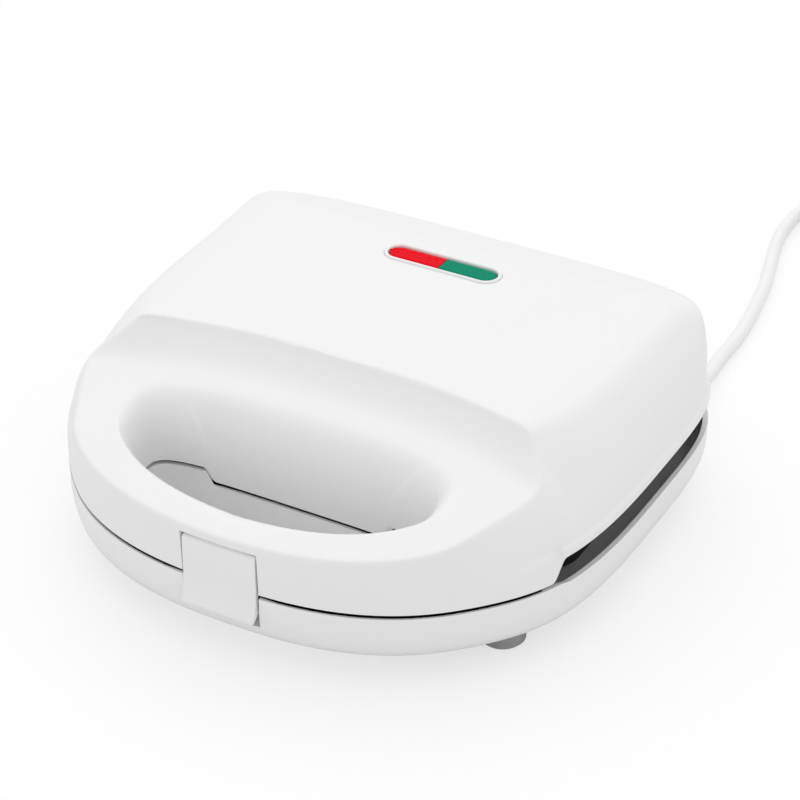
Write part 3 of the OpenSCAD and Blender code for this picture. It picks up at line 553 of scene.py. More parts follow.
def lid_line(p):
    """The outside of the lid from the outer rim over the top into the pocket's throat."""
    toward = pocket_angle(p)
    rim_spot = pocket_rim(toward)
    walls = lid_walls(p, rim_spot)
    s = np.linspace(0, 1, 80)
    hole = throat(toward)
    end_z = throat_height(hole, seam_half_gap)
    funnel_plan = rim_spot + np.outer(1 - (1 - s) ** 1.6, hole - rim_spot)
    funnel = np.column_stack((funnel_plan, walls[-1, 2] + (end_z - walls[-1, 2]) * s ** 1.6))
    line, mid = even_line(np.vstack((walls, funnel[1:])), len(walls) - 1, 5, 2)
    along = (np.arange(len(line)) - mid) * line_step
    near_rim = (smooth((along + 11) / 8) * smooth((len(line) - mid) * line_step / 8 - along / 8))[:, None]
    return line * (1 - near_rim) + rounded(line, 12) * near_rim, mid


rim_reach = 5.4


def section(line_and_mid, rows, corners=5.0, over=1):
    """One closed section of a wall: rows close together by its rim, then along it, then back inside.

    Over is 1 where the hollow is below the wall, as in the lid, and -1 where it is above."""
    line, mid = line_and_mid
    rim = int(rim_reach / line_step)
    return np.vstack((spaced(line[:rim + 1], rows[0]), spaced(line[rim:mid + 1], rows[1], corners)[1:],
                      spaced(line[mid:], rows[2])[1:], inner_line(line, rows[3], over=over)))


half_at_break = 105.5
half_at_rear = 96


def column_angles():
    """Columns of the net, closer together where the rims step up and where the scoop runs out."""
    front_step = atan2(break_y - widest_y, half_at_break)
    rear_step = atan2(rear_rim_y - widest_y + 1, half_at_rear)
    steps = (2 * pi + front_step, pi - front_step, rear_step, pi - rear_step)
    angles = []
    p = 0.0
    while p < 2 * pi - 0.004:
        angles.append(p)
        near = min(abs(p - step) for step in steps)
        scoop_end = -38 < np.degrees(atan2(sin(p), abs(cos(p)))) < 4
        p += radians(0.35) if near < radians(3) else radians(0.7 if scoop_end else 1.6)
    return angles


def net(name, columns, flip):
    """A closed ring of quads: each column is a closed section of the wall, all of one length."""
    count = len(columns[0])
    turns = len(columns)
    faces = []
    for i in range(turns):
        j = (i + 1) % turns
        for k in range(count):
            m = (k + 1) % count
            quad = (i * count + k, j * count + k, j * count + m, i * count + m)
            faces.append(quad[::-1] if flip else quad)
    return new_piece(name, [point for column in columns for point in column], faces)


def plain_mesh(piece, smooth_below=34):
    """Applies the piece's modifiers, and shades it smooth but for sharp edges."""
    bpy.context.view_layer.update()
    shape = bpy.data.meshes.new_from_object(piece.evaluated_get(bpy.context.evaluated_depsgraph_get()))
    piece.modifiers.clear()
    piece.data = shape
    shape.shade_smooth()
    shape.set_sharp_from_angle(angle=radians(smooth_below))
    return piece


def block(name, low, high):
    """A plain box between two corners."""
    corners = [(x, y, z) for x in (low[0], high[0]) for y in (low[1], high[1]) for z in (low[2], high[2])]
    sides = [(0, 1, 3, 2), (4, 6, 7, 5), (0, 4, 5, 1), (2, 3, 7, 6), (0, 2, 6, 4), (1, 5, 7, 3)]
    return new_piece(name, corners, sides)


def cut(piece, *tools):
    """Takes the tools' shapes out of the piece, and removes the tools."""
    for tool in tools:
        take = piece.modifiers.new("cut", "BOOLEAN")
        take.object = tool
        take.solver = "EXACT"
        take.operation = "DIFFERENCE"
        shape = bpy.data.meshes.new_from_object(piece.evaluated_get(bpy.context.evaluated_depsgraph_get()))
        piece.modifiers.clear()
        piece.data = shape
    for tool in tools:
        bpy.data.objects.remove(tool)


def oval(name, length, width, mid_y, z0, z1, turns=48):
    """An upright oval bar, straight between its round ends."""
    half = (length - width) / 2
    ring = []
    for i in range(turns):
        a = 2 * pi * i / turns - pi / 2
        side = half if cos(a) > 1e-6 or (abs(cos(a)) <= 1e-6 and i == 0) else -half
        ring.append((side + width / 2 * cos(a), mid_y + width / 2 * sin(a)))
    sides = [(i, (i + 1) % turns, turns + (i + 1) % turns, turns + i) for i in range(turns)]
    ends = [tuple(range(turns - 1, -1, -1)), tuple(range(turns, 2 * turns))]
    return new_piece(name, [(x, y, z) for z in (z0, z1) for x, y in ring], sides + ends)


latch_half = 15.5
latch_gap = 0.7
latch_top_z = 50.4
latch_head_gap = 1.3
notch_back_y = -101.2
lens_y = 60
lens_length = 48
lens_width = 9.6
bezel_w = 1.9

columns = column_angles()
lid_rows = (12, 150, 40, 40)
lid_skin = net("lid_shell", [section(lid_line(p), lid_rows, 0.0) for p in columns], flip=False)
notch_x = latch_half + latch_gap
cut(lid_skin,
    block("notch", (-notch_x, -140, 10), (notch_x, notch_back_y, latch_top_z + latch_head_gap)),
    oval("window", lens_length + 2 * bezel_w + 0.3, lens_width + 2 * bezel_w + 0.3, lens_y, 70, 95))
plain_mesh(lid_skin)
white_gloss = moulded_plastic("white_gloss", (0.87, 0.87, 0.87), 0.3)
lid_skin.data.materials.append(white_gloss)
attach(lid_skin, "lid")
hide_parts("lid_housing")


# ---- Hinge knuckles and latch housing of the lid ---------------------------------
# Moulded with the lid: two drums round the hinge pins, and the walls that hold the latch's pin.
hinge_y = 105.5
hinge_z = 38
knuckle_r = 6.5
knuckle_x = (55, 69)
ear_w = 4.5
hinge_gap = 0.5
ear_t = 2.4


def outward(mesh):
    """Turns the faces of closed shapes outwards."""
    fix = bmesh.new()
    fix.from_mesh(mesh)
    bmesh.ops.recalc_face_normals(fix, faces=fix.faces)
    fix.to_mesh(mesh)
    fix.free()


def tube_faces(rings, turns):
    """Quads between rings of points, and both ends closed."""
    last = (rings - 1) * turns
    sides = []
    for near in range(0, last, turns):
        far = near + turns
        sides += [(near + i, near + (i + 1) % turns, far + (i + 1) % turns, far + i) for i in range(turns)]
    return sides + [tuple(range(turns)), tuple(range(last + turns - 1, last - 1, -1))]


def drum(name, x0, x1, y, z, radius, turns=48, edge=0.6):
    """A round bar along X with eased ends."""
    rings = ((x0, radius - edge), (x0 + edge * 0.3, radius - edge * 0.3), (x0 + edge, radius),
             (x1 - edge, radius), (x1 - edge * 0.3, radius - edge * 0.3), (x1, radius - edge))
    points = [(x, y + r * cos(2 * pi * i / turns), z + r * sin(2 * pi * i / turns))
              for x, r in rings for i in range(turns)]
    piece = new_piece(name, points, tube_faces(len(rings), turns))
    outward(piece.data)
    return piece


def as_one(name, pieces, smooth_below=34, ease=0.0):
    """Several closed meshes as one piece, with edges eased by a bevel where asked."""
    whole = bmesh.new()
    for piece in pieces:
        whole.from_mesh(piece.data)
        bpy.data.objects.remove(piece)
    mesh = bpy.data.meshes.new(name)
    whole.to_mesh(mesh)
    whole.free()
    made = bpy.data.objects.new(name, mesh)
    scene.collection.objects.link(made)
    if ease:
        bevel = made.modifiers.new("ease", "BEVEL")
        bevel.width = ease * MM
        bevel.segments = 2
        bevel.limit_method = "ANGLE"
        bevel.angle_limit = radians(50)
    return plain_mesh(made, smooth_below)


def dress(piece, material, slot, body, *nodes):
    """Material, body and replaced nodes of one finished piece; the slot is not used."""
    piece.data.materials.clear()
    piece.data.materials.append(material)
    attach(piece, body)
    if nodes:
        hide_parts(*nodes)


frame_h = 1.6
frame_in = 0.8
frame_half = 101
frame_back_y = -52
frame_gap = 1.2
lid_lip_gap = 3.5


def seam_shade_sheet(name, z0, lip_gap):
    """A flat sheet inside the seam round the hand hole; it closes the hollow behind the thin gap, and its
    black is painted shade for the gap's dark depth.
    """
    corners = []
    for q in np.linspace(-90, 270, 145)[:-1]:
        side = 1 if q < 90 else -1
        rise = q if q < 90 else 180 - q
        p = radians(np.interp(rise, (-90, 0, 90), (-90, scoop_turn, 90)))
        outer = further_in(p, frame_in) * (side, 1)
        if outer[1] > frame_back_y:
            outer = np.array((side * frame_half * min((90 - rise) / 80, 1), frame_back_y))
        if abs(outer[0]) < side_x + ear_t + 1:
            outer[1] = max(outer[1], notch_back_y + ear_t + 0.4)
        inner = throat(radians(rise)) * (side, 1)
        at_lip = abs(inner[0]) > lip_x - 3 and inner[1] > lip_y - 3
        inner = throat(radians(rise), lip_gap if at_lip else frame_gap) * (side, 1)
        corners.append([(*inner, z0), (*outer, z0), (*outer, z0 + frame_h), (*inner, z0 + frame_h)])
    frame = net("panel", [np.array(corner) for corner in corners], flip=False)
    outward(frame.data)
    return as_one(name, [frame])


side_x = latch_half + latch_gap
web_top_z = 54
lid_cheek_y = -107.6
lid_cheek_z = seam_z + 0.8
lid_fittings = []
# Painted shade: near-black plastic on the sheets behind the seam gap stands in for the shade deep in the gap,
# where the housings are white inside.
painted_seam_shade = moulded_plastic("painted_seam_shade", (0.012, 0.012, 0.012), 0.5)
dress(seam_shade_sheet("lid_seam_shade_sheet", seam_z + seam_half_gap, lid_lip_gap),
      painted_seam_shade, "plate_coat", "lid")
dress(seam_shade_sheet("base_seam_shade_sheet", seam_z - seam_half_gap - frame_h, frame_gap),
      painted_seam_shade, "plate_coat", "base")
for side in (-1, 1):
    x0, x1 = sorted((side * knuckle_x[0], side * knuckle_x[1]))
    lid_fittings += [drum("knuckle", x0, x1, hinge_y, hinge_z, knuckle_r),
                     block("knuckle_web", (x0, hinge_y - knuckle_r, hinge_z), (x1, hinge_y + 3, web_top_z))]
    x0, x1 = sorted((side * side_x, side * (side_x + ear_t)))
    lid_fittings.append(block("latch_cheek", (x0, lid_cheek_y, lid_cheek_z),
                              (x1, notch_back_y + ear_t, web_top_z)))
lid_fittings.append(block("latch_back", (-side_x - ear_t, notch_back_y, lid_cheek_z),
                          (side_x + ear_t, notch_back_y + ear_t, web_top_z)))
lid_fittings.append(block("latch_roof", (-side_x - ear_t, lid_cheek_y, latch_top_z + latch_head_gap),
                          (side_x + ear_t, notch_back_y + ear_t, web_top_z)))
dress(as_one("lid_fittings", lid_fittings, ease=0.3), white_gloss, "housing_white", "lid")


# ---- Base housing ------------------------------------------------------------------
# The lower white moulding: a shallow tray with a wide round bottom edge, its rear wall standing up
# inside the lid, and a well round the hand hole. It is one net like the lid's, hollow side up.
underside_z = 10
tray_r = 17
tray_power = 3.2
rear_wall_y = 99.5
rear_wall_z = 43.5
well_taper = (9, 6, 7)
well_heights = (10, 14, 22, 31)
well_shares = (1, 0.62, 0.25, 0)


def base_rim_height(y):
    """The rim is a little lower along the sides, and the rear wall stands up between the knuckles."""
    low = seam_z - seam_half_gap - 1.0 * smooth((y - break_y + 2) / 6)
    return float(low + (rear_wall_z - low) * smooth((y - rear_wall_y + 1) / 1.4))


def well_ring(p, share):
    return ring2(hole_half - well_taper[0] * share, hole_fore - well_taper[1] * share,
                 hole_aft - well_taper[2] * share, 2.3, 4.0, hole_mid_y, p)


def base_line(p):
    """The outside of the base from the rim down and under, then up the well to its lip."""
    o = outline(p)
    toward = pocket_angle(p)
    heights = np.linspace(base_rim_height(o[1]), underside_z + tray_r, 14)
    down = np.column_stack((np.tile(o, (len(heights), 1)), heights))
    power = front_power(p)
    round_edge = []
    for a in np.linspace(0, pi / 2, 46)[1:]:
        t = tray_r * (1 - cos(a) ** (2 / tray_power))
        spot = ring2(body_half - t, body_fore - t, body_aft - t, power, rear_power, widest_y, p)
        round_edge.append((*spot, underside_z + tray_r * (1 - sin(a) ** (2 / tray_power))))
    foot = well_ring(toward, 1)
    s = np.linspace(0, 1, 120)[1:, None]
    start = np.array(round_edge[-1][:2])
    under = np.hstack((start + (foot - start) * s, np.full((len(s), 1), underside_z)))
    top = throat_height(well_ring(toward, 0), -seam_half_gap)
    climb = [(*well_ring(toward, np.interp(z, well_heights, well_shares)), z)
             for z in np.linspace(underside_z, top, 44)[1:]]
    before_well = len(down) + len(round_edge) + len(under) - 1
    return even_line(np.vstack((down, round_edge, under, climb)), before_well, 4, 4)


base_rows = (8, 90, 34, 50)
base_skin = net("base_shell", [section(base_line(p), base_rows, over=-1) for p in columns], flip=True)
slot_x = 62
slot_half = 7.5
slots = [block("knuckle_slot", (side * slot_x - slot_half, 90, seam_z - seam_half_gap),
               (side * slot_x + slot_half, 130, 60)) for side in (-1, 1)]
cord_x = 84
cord_z = 20
bushing_r = 5.1
cord_bore = drum("cord_bore", -12, 12, 0, 0, bushing_r + 0.15, edge=0.1)
for vertex in cord_bore.data.vertices:
    x, y, z = vertex.co
    vertex.co = (cord_x * MM - y, 105 * MM + x, cord_z * MM + z)
cut(base_skin, block("notch", (-notch_x, -140, seam_z - 14), (notch_x, notch_back_y, 60)), cord_bore, *slots)
plain_mesh(base_skin)
dress(base_skin, white_gloss, "housing_white", "base", "base_housing")

base_cheek_y = -106.4
base_cheek_z = (19, 32)
latch_floor_z = 16.8
catch_z = (27.2, 30.2)
base_fittings = []
for side in (-1, 1):
    for x0 in (knuckle_x[0] - ear_w - hinge_gap, knuckle_x[1] + hinge_gap):
        a, b = sorted((side * x0, side * (x0 + ear_w)))
        base_fittings += [drum("ear", a, b, hinge_y, hinge_z, knuckle_r),
                          block("ear_web", (a, hinge_y - knuckle_r, underside_z + 8),
                                (b, hinge_y + 4, hinge_z))]
    x0, x1 = sorted((side * side_x, side * (side_x + ear_t)))
    base_fittings.append(block("latch_cheek", (x0, base_cheek_y, base_cheek_z[0]),
                               (x1, notch_back_y + ear_t, base_cheek_z[1])))
base_fittings.append(block("latch_back", (-side_x - ear_t, notch_back_y, base_cheek_z[0]),
                           (side_x + ear_t, notch_back_y + ear_t, base_cheek_z[1])))
base_fittings.append(block("latch_floor", (-side_x - ear_t, base_cheek_y + 1, latch_floor_z),
                           (side_x + ear_t, notch_back_y + ear_t, base_cheek_z[0])))
base_fittings.append(block("catch", (-latch_half + 1, base_cheek_y, catch_z[0]),
                           (latch_half - 1, notch_back_y, catch_z[1])))
dress(as_one("base_fittings", base_fittings, ease=0.3), white_gloss, "housing_white", "base")


# ---- Latch -----------------------------------------------------------------------------
# A white tab over the seam that hinges in the lid; its foot flares out as a finger lip.
latch_face_y = -109.6
latch_axis = (-105, 45.8)
latch_profile = [(2.9, 50.4), (1.3, 50.4), (0.4, 49.6), (0.1, 48.8), (0, 47.8), (0, 34), (-0.4, 29),
                 (-1.3, 25.4), (-2.4, 23.2), (-2.4, 22.3), (-2.1, 22), (-1.6, 22), (0.9, 24.2), (4.4, 24.2),
                 (4.6, 24.6), (4.6, 26.2), (2.1, 27), (2.5, 34)]
latch_edge = 0.7


def latch_tab():
    """The tab's profile drawn along X, its two ends eased."""
    outline_yz = np.array([(0.0, latch_face_y + y, z) for y, z in latch_profile])
    closed = np.vstack((outline_yz, outline_yz[:1]))
    ring = spaced(closed, 97, 2.0)[:-1]
    middle = ring.mean(axis=0)
    bands = []
    for x, inset in ((-latch_half, latch_edge), (-latch_half + 0.2, latch_edge * 0.42),
                     (-latch_half + latch_edge, 0), (latch_half - latch_edge, 0),
                     (latch_half - 0.2, latch_edge * 0.42), (latch_half, latch_edge)):
        ahead = np.roll(ring, -1, axis=0) - np.roll(ring, 1, axis=0)
        out = np.column_stack((np.zeros(len(ring)), ahead[:, 2], -ahead[:, 1]))
        out /= np.maximum(np.sqrt((out ** 2).sum(axis=1)), 1e-9)[:, None]
        if ((ring - middle) * out).sum() < 0:
            out = -out
        band = ring - out * inset * 0.6
        band[:, 0] = x
        bands.append(band)
    points = [point for band in bands for point in band]
    piece = new_piece("latch_tab", points, tube_faces(len(bands), len(ring)))
    outward(piece.data)
    return piece


latch_pivots = [drum("latch_pivot_left", -latch_half, -5, *latch_axis, 3),
                drum("latch_pivot_right", 5, latch_half, *latch_axis, 3)]
latch_piece = as_one("latch_tab_piece", [latch_tab()] + latch_pivots)
dress(latch_piece, white_gloss, "housing_white", "latch", "latch")


# ---- Signal window ------------------------------------------------------------------------
# A white ring clipped into the lid holds two dyed lenses with fine prisms on their faces, their grooves
# darkened with painted shade.
# Behind them two neon lamps lie in a white holder that keeps their light apart.
ring_top_z = 83.3
ring_foot_z = 78.7
lens_top_z = 82.85
lens_foot_z = 78.7
prism_pitch = 1.2
prism_rise = 0.15
one_band = 0.314
lens_slip = 0.15
lens_edge_drop = 0.7
ring_profile = [(0, ring_foot_z), (0, ring_top_z - 0.6), (-0.12, ring_top_z - 0.25),
                (-0.4, ring_top_z - 0.05), (-0.8, ring_top_z), (-1.3, ring_top_z - 0.1),
                (-1.55, ring_top_z - 0.35), (-1.65, ring_top_z - 0.8), (-1.65, ring_foot_z)]


def racetrack(length, width, turns=28):
    """Points and outward directions round an oval that is straight between its round ends."""
    half = (length - width) / 2
    spots = []
    for side in (1, -1):
        for a in np.linspace(-pi / 2, pi / 2, turns):
            out = np.array((cos(a), sin(a))) * side
            spots.append((np.array((side * half, 0)) + out * width / 2, out))
    return spots


def lens_ring():
    """The ring's section carried round the window."""
    spots = racetrack(lens_length + 2 * bezel_w, lens_width + 2 * bezel_w)
    points = [(at[0] + out[0] * d, lens_y + at[1] + out[1] * d, z)
              for at, out in spots for d, z in ring_profile]
    n = len(ring_profile)
    faces = [(i * n + k, ((i + 1) % len(spots)) * n + k, ((i + 1) % len(spots)) * n + (k + 1) % n,
              i * n + (k + 1) % n) for i in range(len(spots)) for k in range(n)]
    piece = new_piece("lens_ring", points, faces)
    outward(piece.data)
    return plain_mesh(piece, 50)


def lens_half(name, side):
    """One lens: strips across the window, alternately high and low, between its middle and its round end."""
    count = int(lens_length / 2 / (prism_pitch / 2))
    xs = np.linspace(lens_slip, lens_length / 2 - lens_slip, count + 1)
    half = (lens_length - lens_width) / 2
    points = []
    for i, x in enumerate(xs):
        over = max(x - half, 0)
        y = max(sqrt(max((lens_width / 2 - lens_slip) ** 2 - over ** 2, 0)), 0.4)
        z = lens_top_z - prism_rise * (i % 2)
        for row in range(9):
            share = -1 + row / 4
            height = lens_top_z - lens_edge_drop if row in (0, 8) else z - prism_rise * (row % 2)
            points.append((side * x, lens_y + y * share, height))
        points += [(side * x, lens_y + y, lens_foot_z), (side * x, lens_y - y, lens_foot_z)]
    piece = new_piece(name, points, tube_faces(len(xs), 11))
    outward(piece.data)
    return plain_mesh(piece, 10)


def banded(material, place, way, scale, uneven=0.0):
    return node_of(material, "ShaderNodeTexWave", {"wave_type": "BANDS", "bands_direction": way},
                   {"Vector": place, "Scale": scale, "Distortion": uneven})


def dyed_lens_groove_shaded(name, colour, dark):
    """Dyed plastic, with painted shade darkening the grooves between its prisms."""
    material, shader = finish_named(name)
    place = place_on_piece(material)
    scale = one_band / (prism_pitch * MM)
    # Painted shade: the crossed bands darken the dye where the grooves between the prisms lie.
    prisms = banded(material, place, "X", scale) * banded(material, place, "Y", scale)
    tint = between(material, prisms, dark, colour)
    shade(material, shader, Base_Color=tint)
    shader.inputs["Roughness"].default_value = 0.45
    shader.inputs["Specular IOR Level"].default_value = 0.05
    return material


dress(lens_ring(), white_gloss, "housing_white", "lid", "lens_bezel")
# The second colour of each lens is its painted groove shade.
red_dye = dyed_lens_groove_shaded("lens_red_dye", (0.96, 0.0, 0.012), (0.8, 0.0, 0.01))
green_dye = dyed_lens_groove_shaded("lens_green_dye", (0.0, 0.34, 0.2), (0.0, 0.24, 0.135))
dress(lens_half("lens_red_half", -1), red_dye, "lens_red", "lid", "lens_red")
dress(lens_half("lens_green_half", 1), green_dye, "lens_green", "lid", "lens_green")


def neon_glass():
    """Thin glass, a little smoky towards the electrodes."""
    material, shader = finish_named("neon_glass")
    place = place_on_piece(material)
    smoke = noise(material, place, 320, 1)
    tint = between(material, smoke, (0.82, 0.7, 0.62), (0.95, 0.9, 0.86))
    shade(material, shader, Base_Color=tint, Roughness=smoke * 0.06 + 0.03)
    shader.inputs["Transmission Weight"].default_value = 0.75
    shader.inputs["IOR"].default_value = 1.5
    return material


def keep(material, *names):
    """CAD nodes whose shape is right get their finish."""
    for name in names:
        for place in nodes[name].material_slots:
            place.material = material


keep(neon_glass(), "lamp_red", "lamp_green")
keep(moulded_plastic("holder_white", (0.84, 0.84, 0.82), 0.5), "lamp_holder")


# ---- Cooking plates ---------------------------------------------------------------------------
# Two cast aluminium plates with four bread pockets each and a raised cross that seals and halves
# the bread. Their black non-stick coat is slightly pebbled; screws hold them to the housings.
def non_stick_coat():
    """Black coat, slightly pebbled, with fine pale flecks."""
    material, shader = finish_named("non_stick_coat")
    place = place_on_piece(material)
    pebble = node_of(material, "ShaderNodeTexVoronoi", {}, {"Vector": place, "Scale": 1500.0})
    cloud = noise(material, place, 60, 3)
    fleck = noise(material, place, 2400, 1)
    flecks = node_of(material, "ShaderNodeValToRGB", {"stops": ((0.66, (0, 0, 0, 1)), (0.72, (1, 1, 1, 1)))},
                     {"Fac": fleck})
    tint = between(material, flecks * 0.5, (0.012, 0.012, 0.013), (0.07, 0.07, 0.072))
    bump = raised(material, 0.35, 0.0002, pebble * 0.6 + cloud * 0.4)
    shade(material, shader, Base_Color=tint, Roughness=cloud * 0.16 + 0.3, Normal=bump)
    return material


keep(non_stick_coat(), "lower_plate", "upper_plate")


# ---- Heating elements and their controls ----------------------------------------------------------
# Steel sheathed elements in ceramic bushes lie against the plates under pressed straps, and steel
# sheets behind them keep the heat off the housings. A thermostat and a fuse sit on the upper plate.
def plain_steel(name, colour, roughness, grain_along, heat=0.0):
    """Rolled or drawn steel: fine grain one way, slow stains, and straw heat tint where asked."""
    material, shader = finish_named(name)
    place = place_on_piece(material)
    drawn = node_of(material, "ShaderNodeVectorMath", {"operation": "MULTIPLY"}, {0: place, 1: grain_along})
    grain = noise(material, drawn, 900, 3)
    stain = noise(material, place, 45, 2)
    warm = tuple(c * k for c, k in zip(colour, (1.0, 1 - 0.35 * heat, 1 - 0.7 * heat)))
    tint = between(material, stain, faded(warm, 0.86), colour)
    bump = raised(material, 0.25, 0.0001, grain)
    shade(material, shader, Base_Color=tint, Roughness=grain * 0.12 + stain * 0.08 + roughness, Normal=bump)
    shader.inputs["Metallic"].default_value = 1.0
    return material


def fired_ceramic(name, colour, roughness):
    """Steatite: ivory, speckled and slightly rough."""
    material, shader = finish_named(name)
    place = place_on_piece(material)
    speck = noise(material, place, 700, 4)
    tint = between(material, speck, faded(colour, 0.8), colour)
    bump = raised(material, 0.3, 0.0002, speck)
    shade(material, shader, Base_Color=tint, Roughness=speck * 0.15 + roughness, Normal=bump)
    return material


keep(plain_steel("element_sheath", (0.42, 0.41, 0.4), 0.36, (0.1, 1, 1), heat=0.5),
     "lower_heater", "upper_heater")
keep(plain_steel("pressed_sheet", (0.66, 0.67, 0.68), 0.26, (0.08, 1, 1)), "lower_shield", "upper_shield",
     "lower_straps", "upper_straps")
keep(fired_ceramic("element_ceramic", (0.85, 0.82, 0.74), 0.5), "lower_heater_ends", "upper_heater_ends",
     "lower_spacers", "upper_spacers")
keep(fired_ceramic("thermostat_case", (0.8, 0.76, 0.68), 0.42), "thermostat")
keep(plain_steel("fuse_case", (0.7, 0.7, 0.68), 0.22, (1, 0.1, 1)), "thermal_fuse")


# ---- Screws --------------------------------------------------------------------------------------
# Pan head cross recess screws hold the plates, the straps with their sheets, and the cord clamp.
# One tree turns a point for each screw into the screw; both plates' heads look out between the breads.
def new_tree(name, *labels):
    """An empty Geometry Nodes tree with named number inputs, and the links that bring them in."""
    tree = bpy.data.node_groups.new(name, "GeometryNodeTree")
    tree.interface.new_socket("Geometry", in_out="INPUT", socket_type="NodeSocketGeometry")
    for label in labels:
        tree.interface.new_socket(label, in_out="INPUT", socket_type="NodeSocketFloat")
    tree.interface.new_socket("Geometry", in_out="OUTPUT", socket_type="NodeSocketGeometry")
    brought = node_of(tree, "NodeGroupInput", output="Geometry")
    node = brought.socket.node
    return [tree, brought] + [Link(tree, node.outputs[label]) for label in labels]


def finished(tree, shape, material):
    """Makes a tree's result real, gives it its material and sends it out."""
    real = node_of(tree, "GeometryNodeRealizeInstances", {}, {"Geometry": shape})
    coated = node_of(tree, "GeometryNodeSetMaterial", {}, {"Geometry": real, "Material": material})
    node_of(tree, "NodeGroupOutput", {}, {"Geometry": coated})
    return tree


def turned_screw_tree(material):
    """Head with a cross recess and a plain shank, head up on each point."""
    tree, spots, head_r, head_h, shank_r, length, turned = new_tree(
        "cross_recess_screws", "Head radius", "Head height", "Shank radius", "Length", "Turned over")

    def at(x, y, z):
        return node_of(tree, "ShaderNodeCombineXYZ", {}, {"X": x, "Y": y, "Z": z})

    def moved(shape, height):
        return node_of(tree, "GeometryNodeTransform", {}, {
            "Geometry": shape, "Translation": at(0.0, 0.0, height)})

    head = node_of(tree, "GeometryNodeMeshCone", {}, {
        "Vertices": 32, "Radius Bottom": head_r, "Depth": head_h, "Radius Top": head_r * 0.72}, output="Mesh")
    slot_long = head_r * 1.15
    slot_wide = head_r * 0.24
    slot_deep = head_h * 0.9
    bars = [node_of(tree, "GeometryNodeMeshCube", {}, {"Size": size}, output="Mesh")
            for size in (at(slot_long, slot_wide, slot_deep), at(slot_wide, slot_long, slot_deep))]
    recessed = node_of(tree, "GeometryNodeMeshBoolean", {"operation": "DIFFERENCE"},
                       {"Mesh 1": moved(head, head_h * -1.0), "Mesh 2": bars}, output="Mesh")
    shank_l = length - head_h
    shank = node_of(tree, "GeometryNodeMeshCylinder", {}, {
        "Vertices": 20, "Radius": shank_r, "Depth": shank_l}, output="Mesh")
    screw = node_of(tree, "GeometryNodeJoinGeometry", {}, {
        "Geometry": [recessed, moved(shank, shank_l * -0.5 - head_h)]})
    spread = node_of(tree, "GeometryNodeInstanceOnPoints", {}, {
        "Points": spots, "Instance": screw, "Rotation": at(turned, 0.0, 0.0)})
    return finished(tree, spread, material)


def made_by(tree, name, points, edges, sizes):
    """Runs a tree on points in millimetres and keeps the result as a plain mesh."""
    piece = new_piece(name, points, [], edges)
    growth = piece.modifiers.new("growth", "NODES")
    growth.node_group = tree
    for item in tree.interface.items_tree:
        if item.name in sizes:
            growth[item.identifier] = float(sizes[item.name])
    return plain_mesh(piece, 40)


zinc = plain_steel("zinc_plated", (0.68, 0.69, 0.7), 0.24, (1, 1, 0.1))
screw_tree = turned_screw_tree(zinc)
plate_screw_spots = ((0, -36), (0, 82), (-96, 23), (96, 23))
strap_screw_spots = ((-35, 23), (35, 23))
clamp_screw_spots = ((77.6, 88), (90.4, 88))
# Part, body, places, height of the head's top, head radius and height, shank radius, length, turn about X.
screw_sets = (("lower_plate", "base", plate_screw_spots, 37.2, 3.5, 1.7, 1.8, 16, 0),
              ("upper_plate", "lid", plate_screw_spots, 38.8, 3.5, 1.7, 1.8, 16, pi),
              ("lower_strap", "base", strap_screw_spots, 13.4, 3.0, 1.8, 1.5, 12.9, pi),
              ("upper_strap", "lid", strap_screw_spots, 62.6, 3.0, 1.8, 1.5, 12.9, 0),
              ("cord_clamp", "base", clamp_screw_spots, 27.2, 2.4, 1.6, 1.2, 13, 0))
for part, body, spots, head_z, head_r, head_h, shank_r, length, turned in screw_sets:
    sizes = {"Head radius": head_r * MM, "Head height": head_h * MM, "Shank radius": shank_r * MM,
             "Length": length * MM, "Turned over": turned}
    screws = made_by(screw_tree, part + "_screw_set", [(*spot, head_z) for spot in spots], [], sizes)
    dress(screws, zinc, "element_steel", body, part + "_screws")


# ---- Pins and spring ---------------------------------------------------------------------------------
# Bright steel pins turn in the ears and the latch, and a wire spring pushes the latch home.
keep(plain_steel("bright_pin", (0.74, 0.75, 0.76), 0.16, (0.1, 1, 1)), "hinge_pin_left", "hinge_pin_right",
     "latch_pin")
keep(plain_steel("spring_wire", (0.55, 0.55, 0.56), 0.25, (1, 1, 1)), "latch_spring")


# ---- Mains entry -----------------------------------------------------------------------------------
# The lead comes through a soft ribbed sleeve that grips the rear wall, then a clamp, and its
# wires run from the terminal block through a braided sleeve up into the lid.
relief_from_y = 93.4
relief_length = 34
relief_wide_r = 4.9
relief_narrow_r = 3.7
relief_rib_h = 0.22
relief_ribs = 8
collar_r = 5.95
collar_halves = (1.3, 2.4)
collar_places_y = (94.8, 106.6)


def ribbed_sleeve_tree(material):
    """A tapering tube along a line, with round ribs and wider gaps between them."""
    tree, line, wide, narrow, rib_h, ribs = new_tree(
        "ribbed_sleeve", "Wide radius", "Narrow radius", "Rib height", "Ribs")
    path = node_of(tree, "GeometryNodeMeshToCurve", {}, {"Mesh": line})
    even = node_of(tree, "GeometryNodeResampleCurve", {}, {"Curve": path, "Count": 150})
    along = node_of(tree, "GeometryNodeSplineParameter", output="Factor")
    taper = wide + along * (narrow - wide)
    radius = taper + ((along * ribs * (2 * pi)).wave() * 2.0).at_least(-1.0) * rib_h
    sized = node_of(tree, "GeometryNodeSetCurveRadius", {}, {"Curve": even, "Radius": radius})
    round_one = node_of(tree, "GeometryNodeCurvePrimitiveCircle", {"mode": "RADIUS"}, {
        "Resolution": 40, "Radius": 1.0})
    skin = node_of(tree, "GeometryNodeCurveToMesh", {}, {
        "Curve": sized, "Profile Curve": round_one, "Fill Caps": True, "Scale": radius})
    return finished(tree, skin, material)


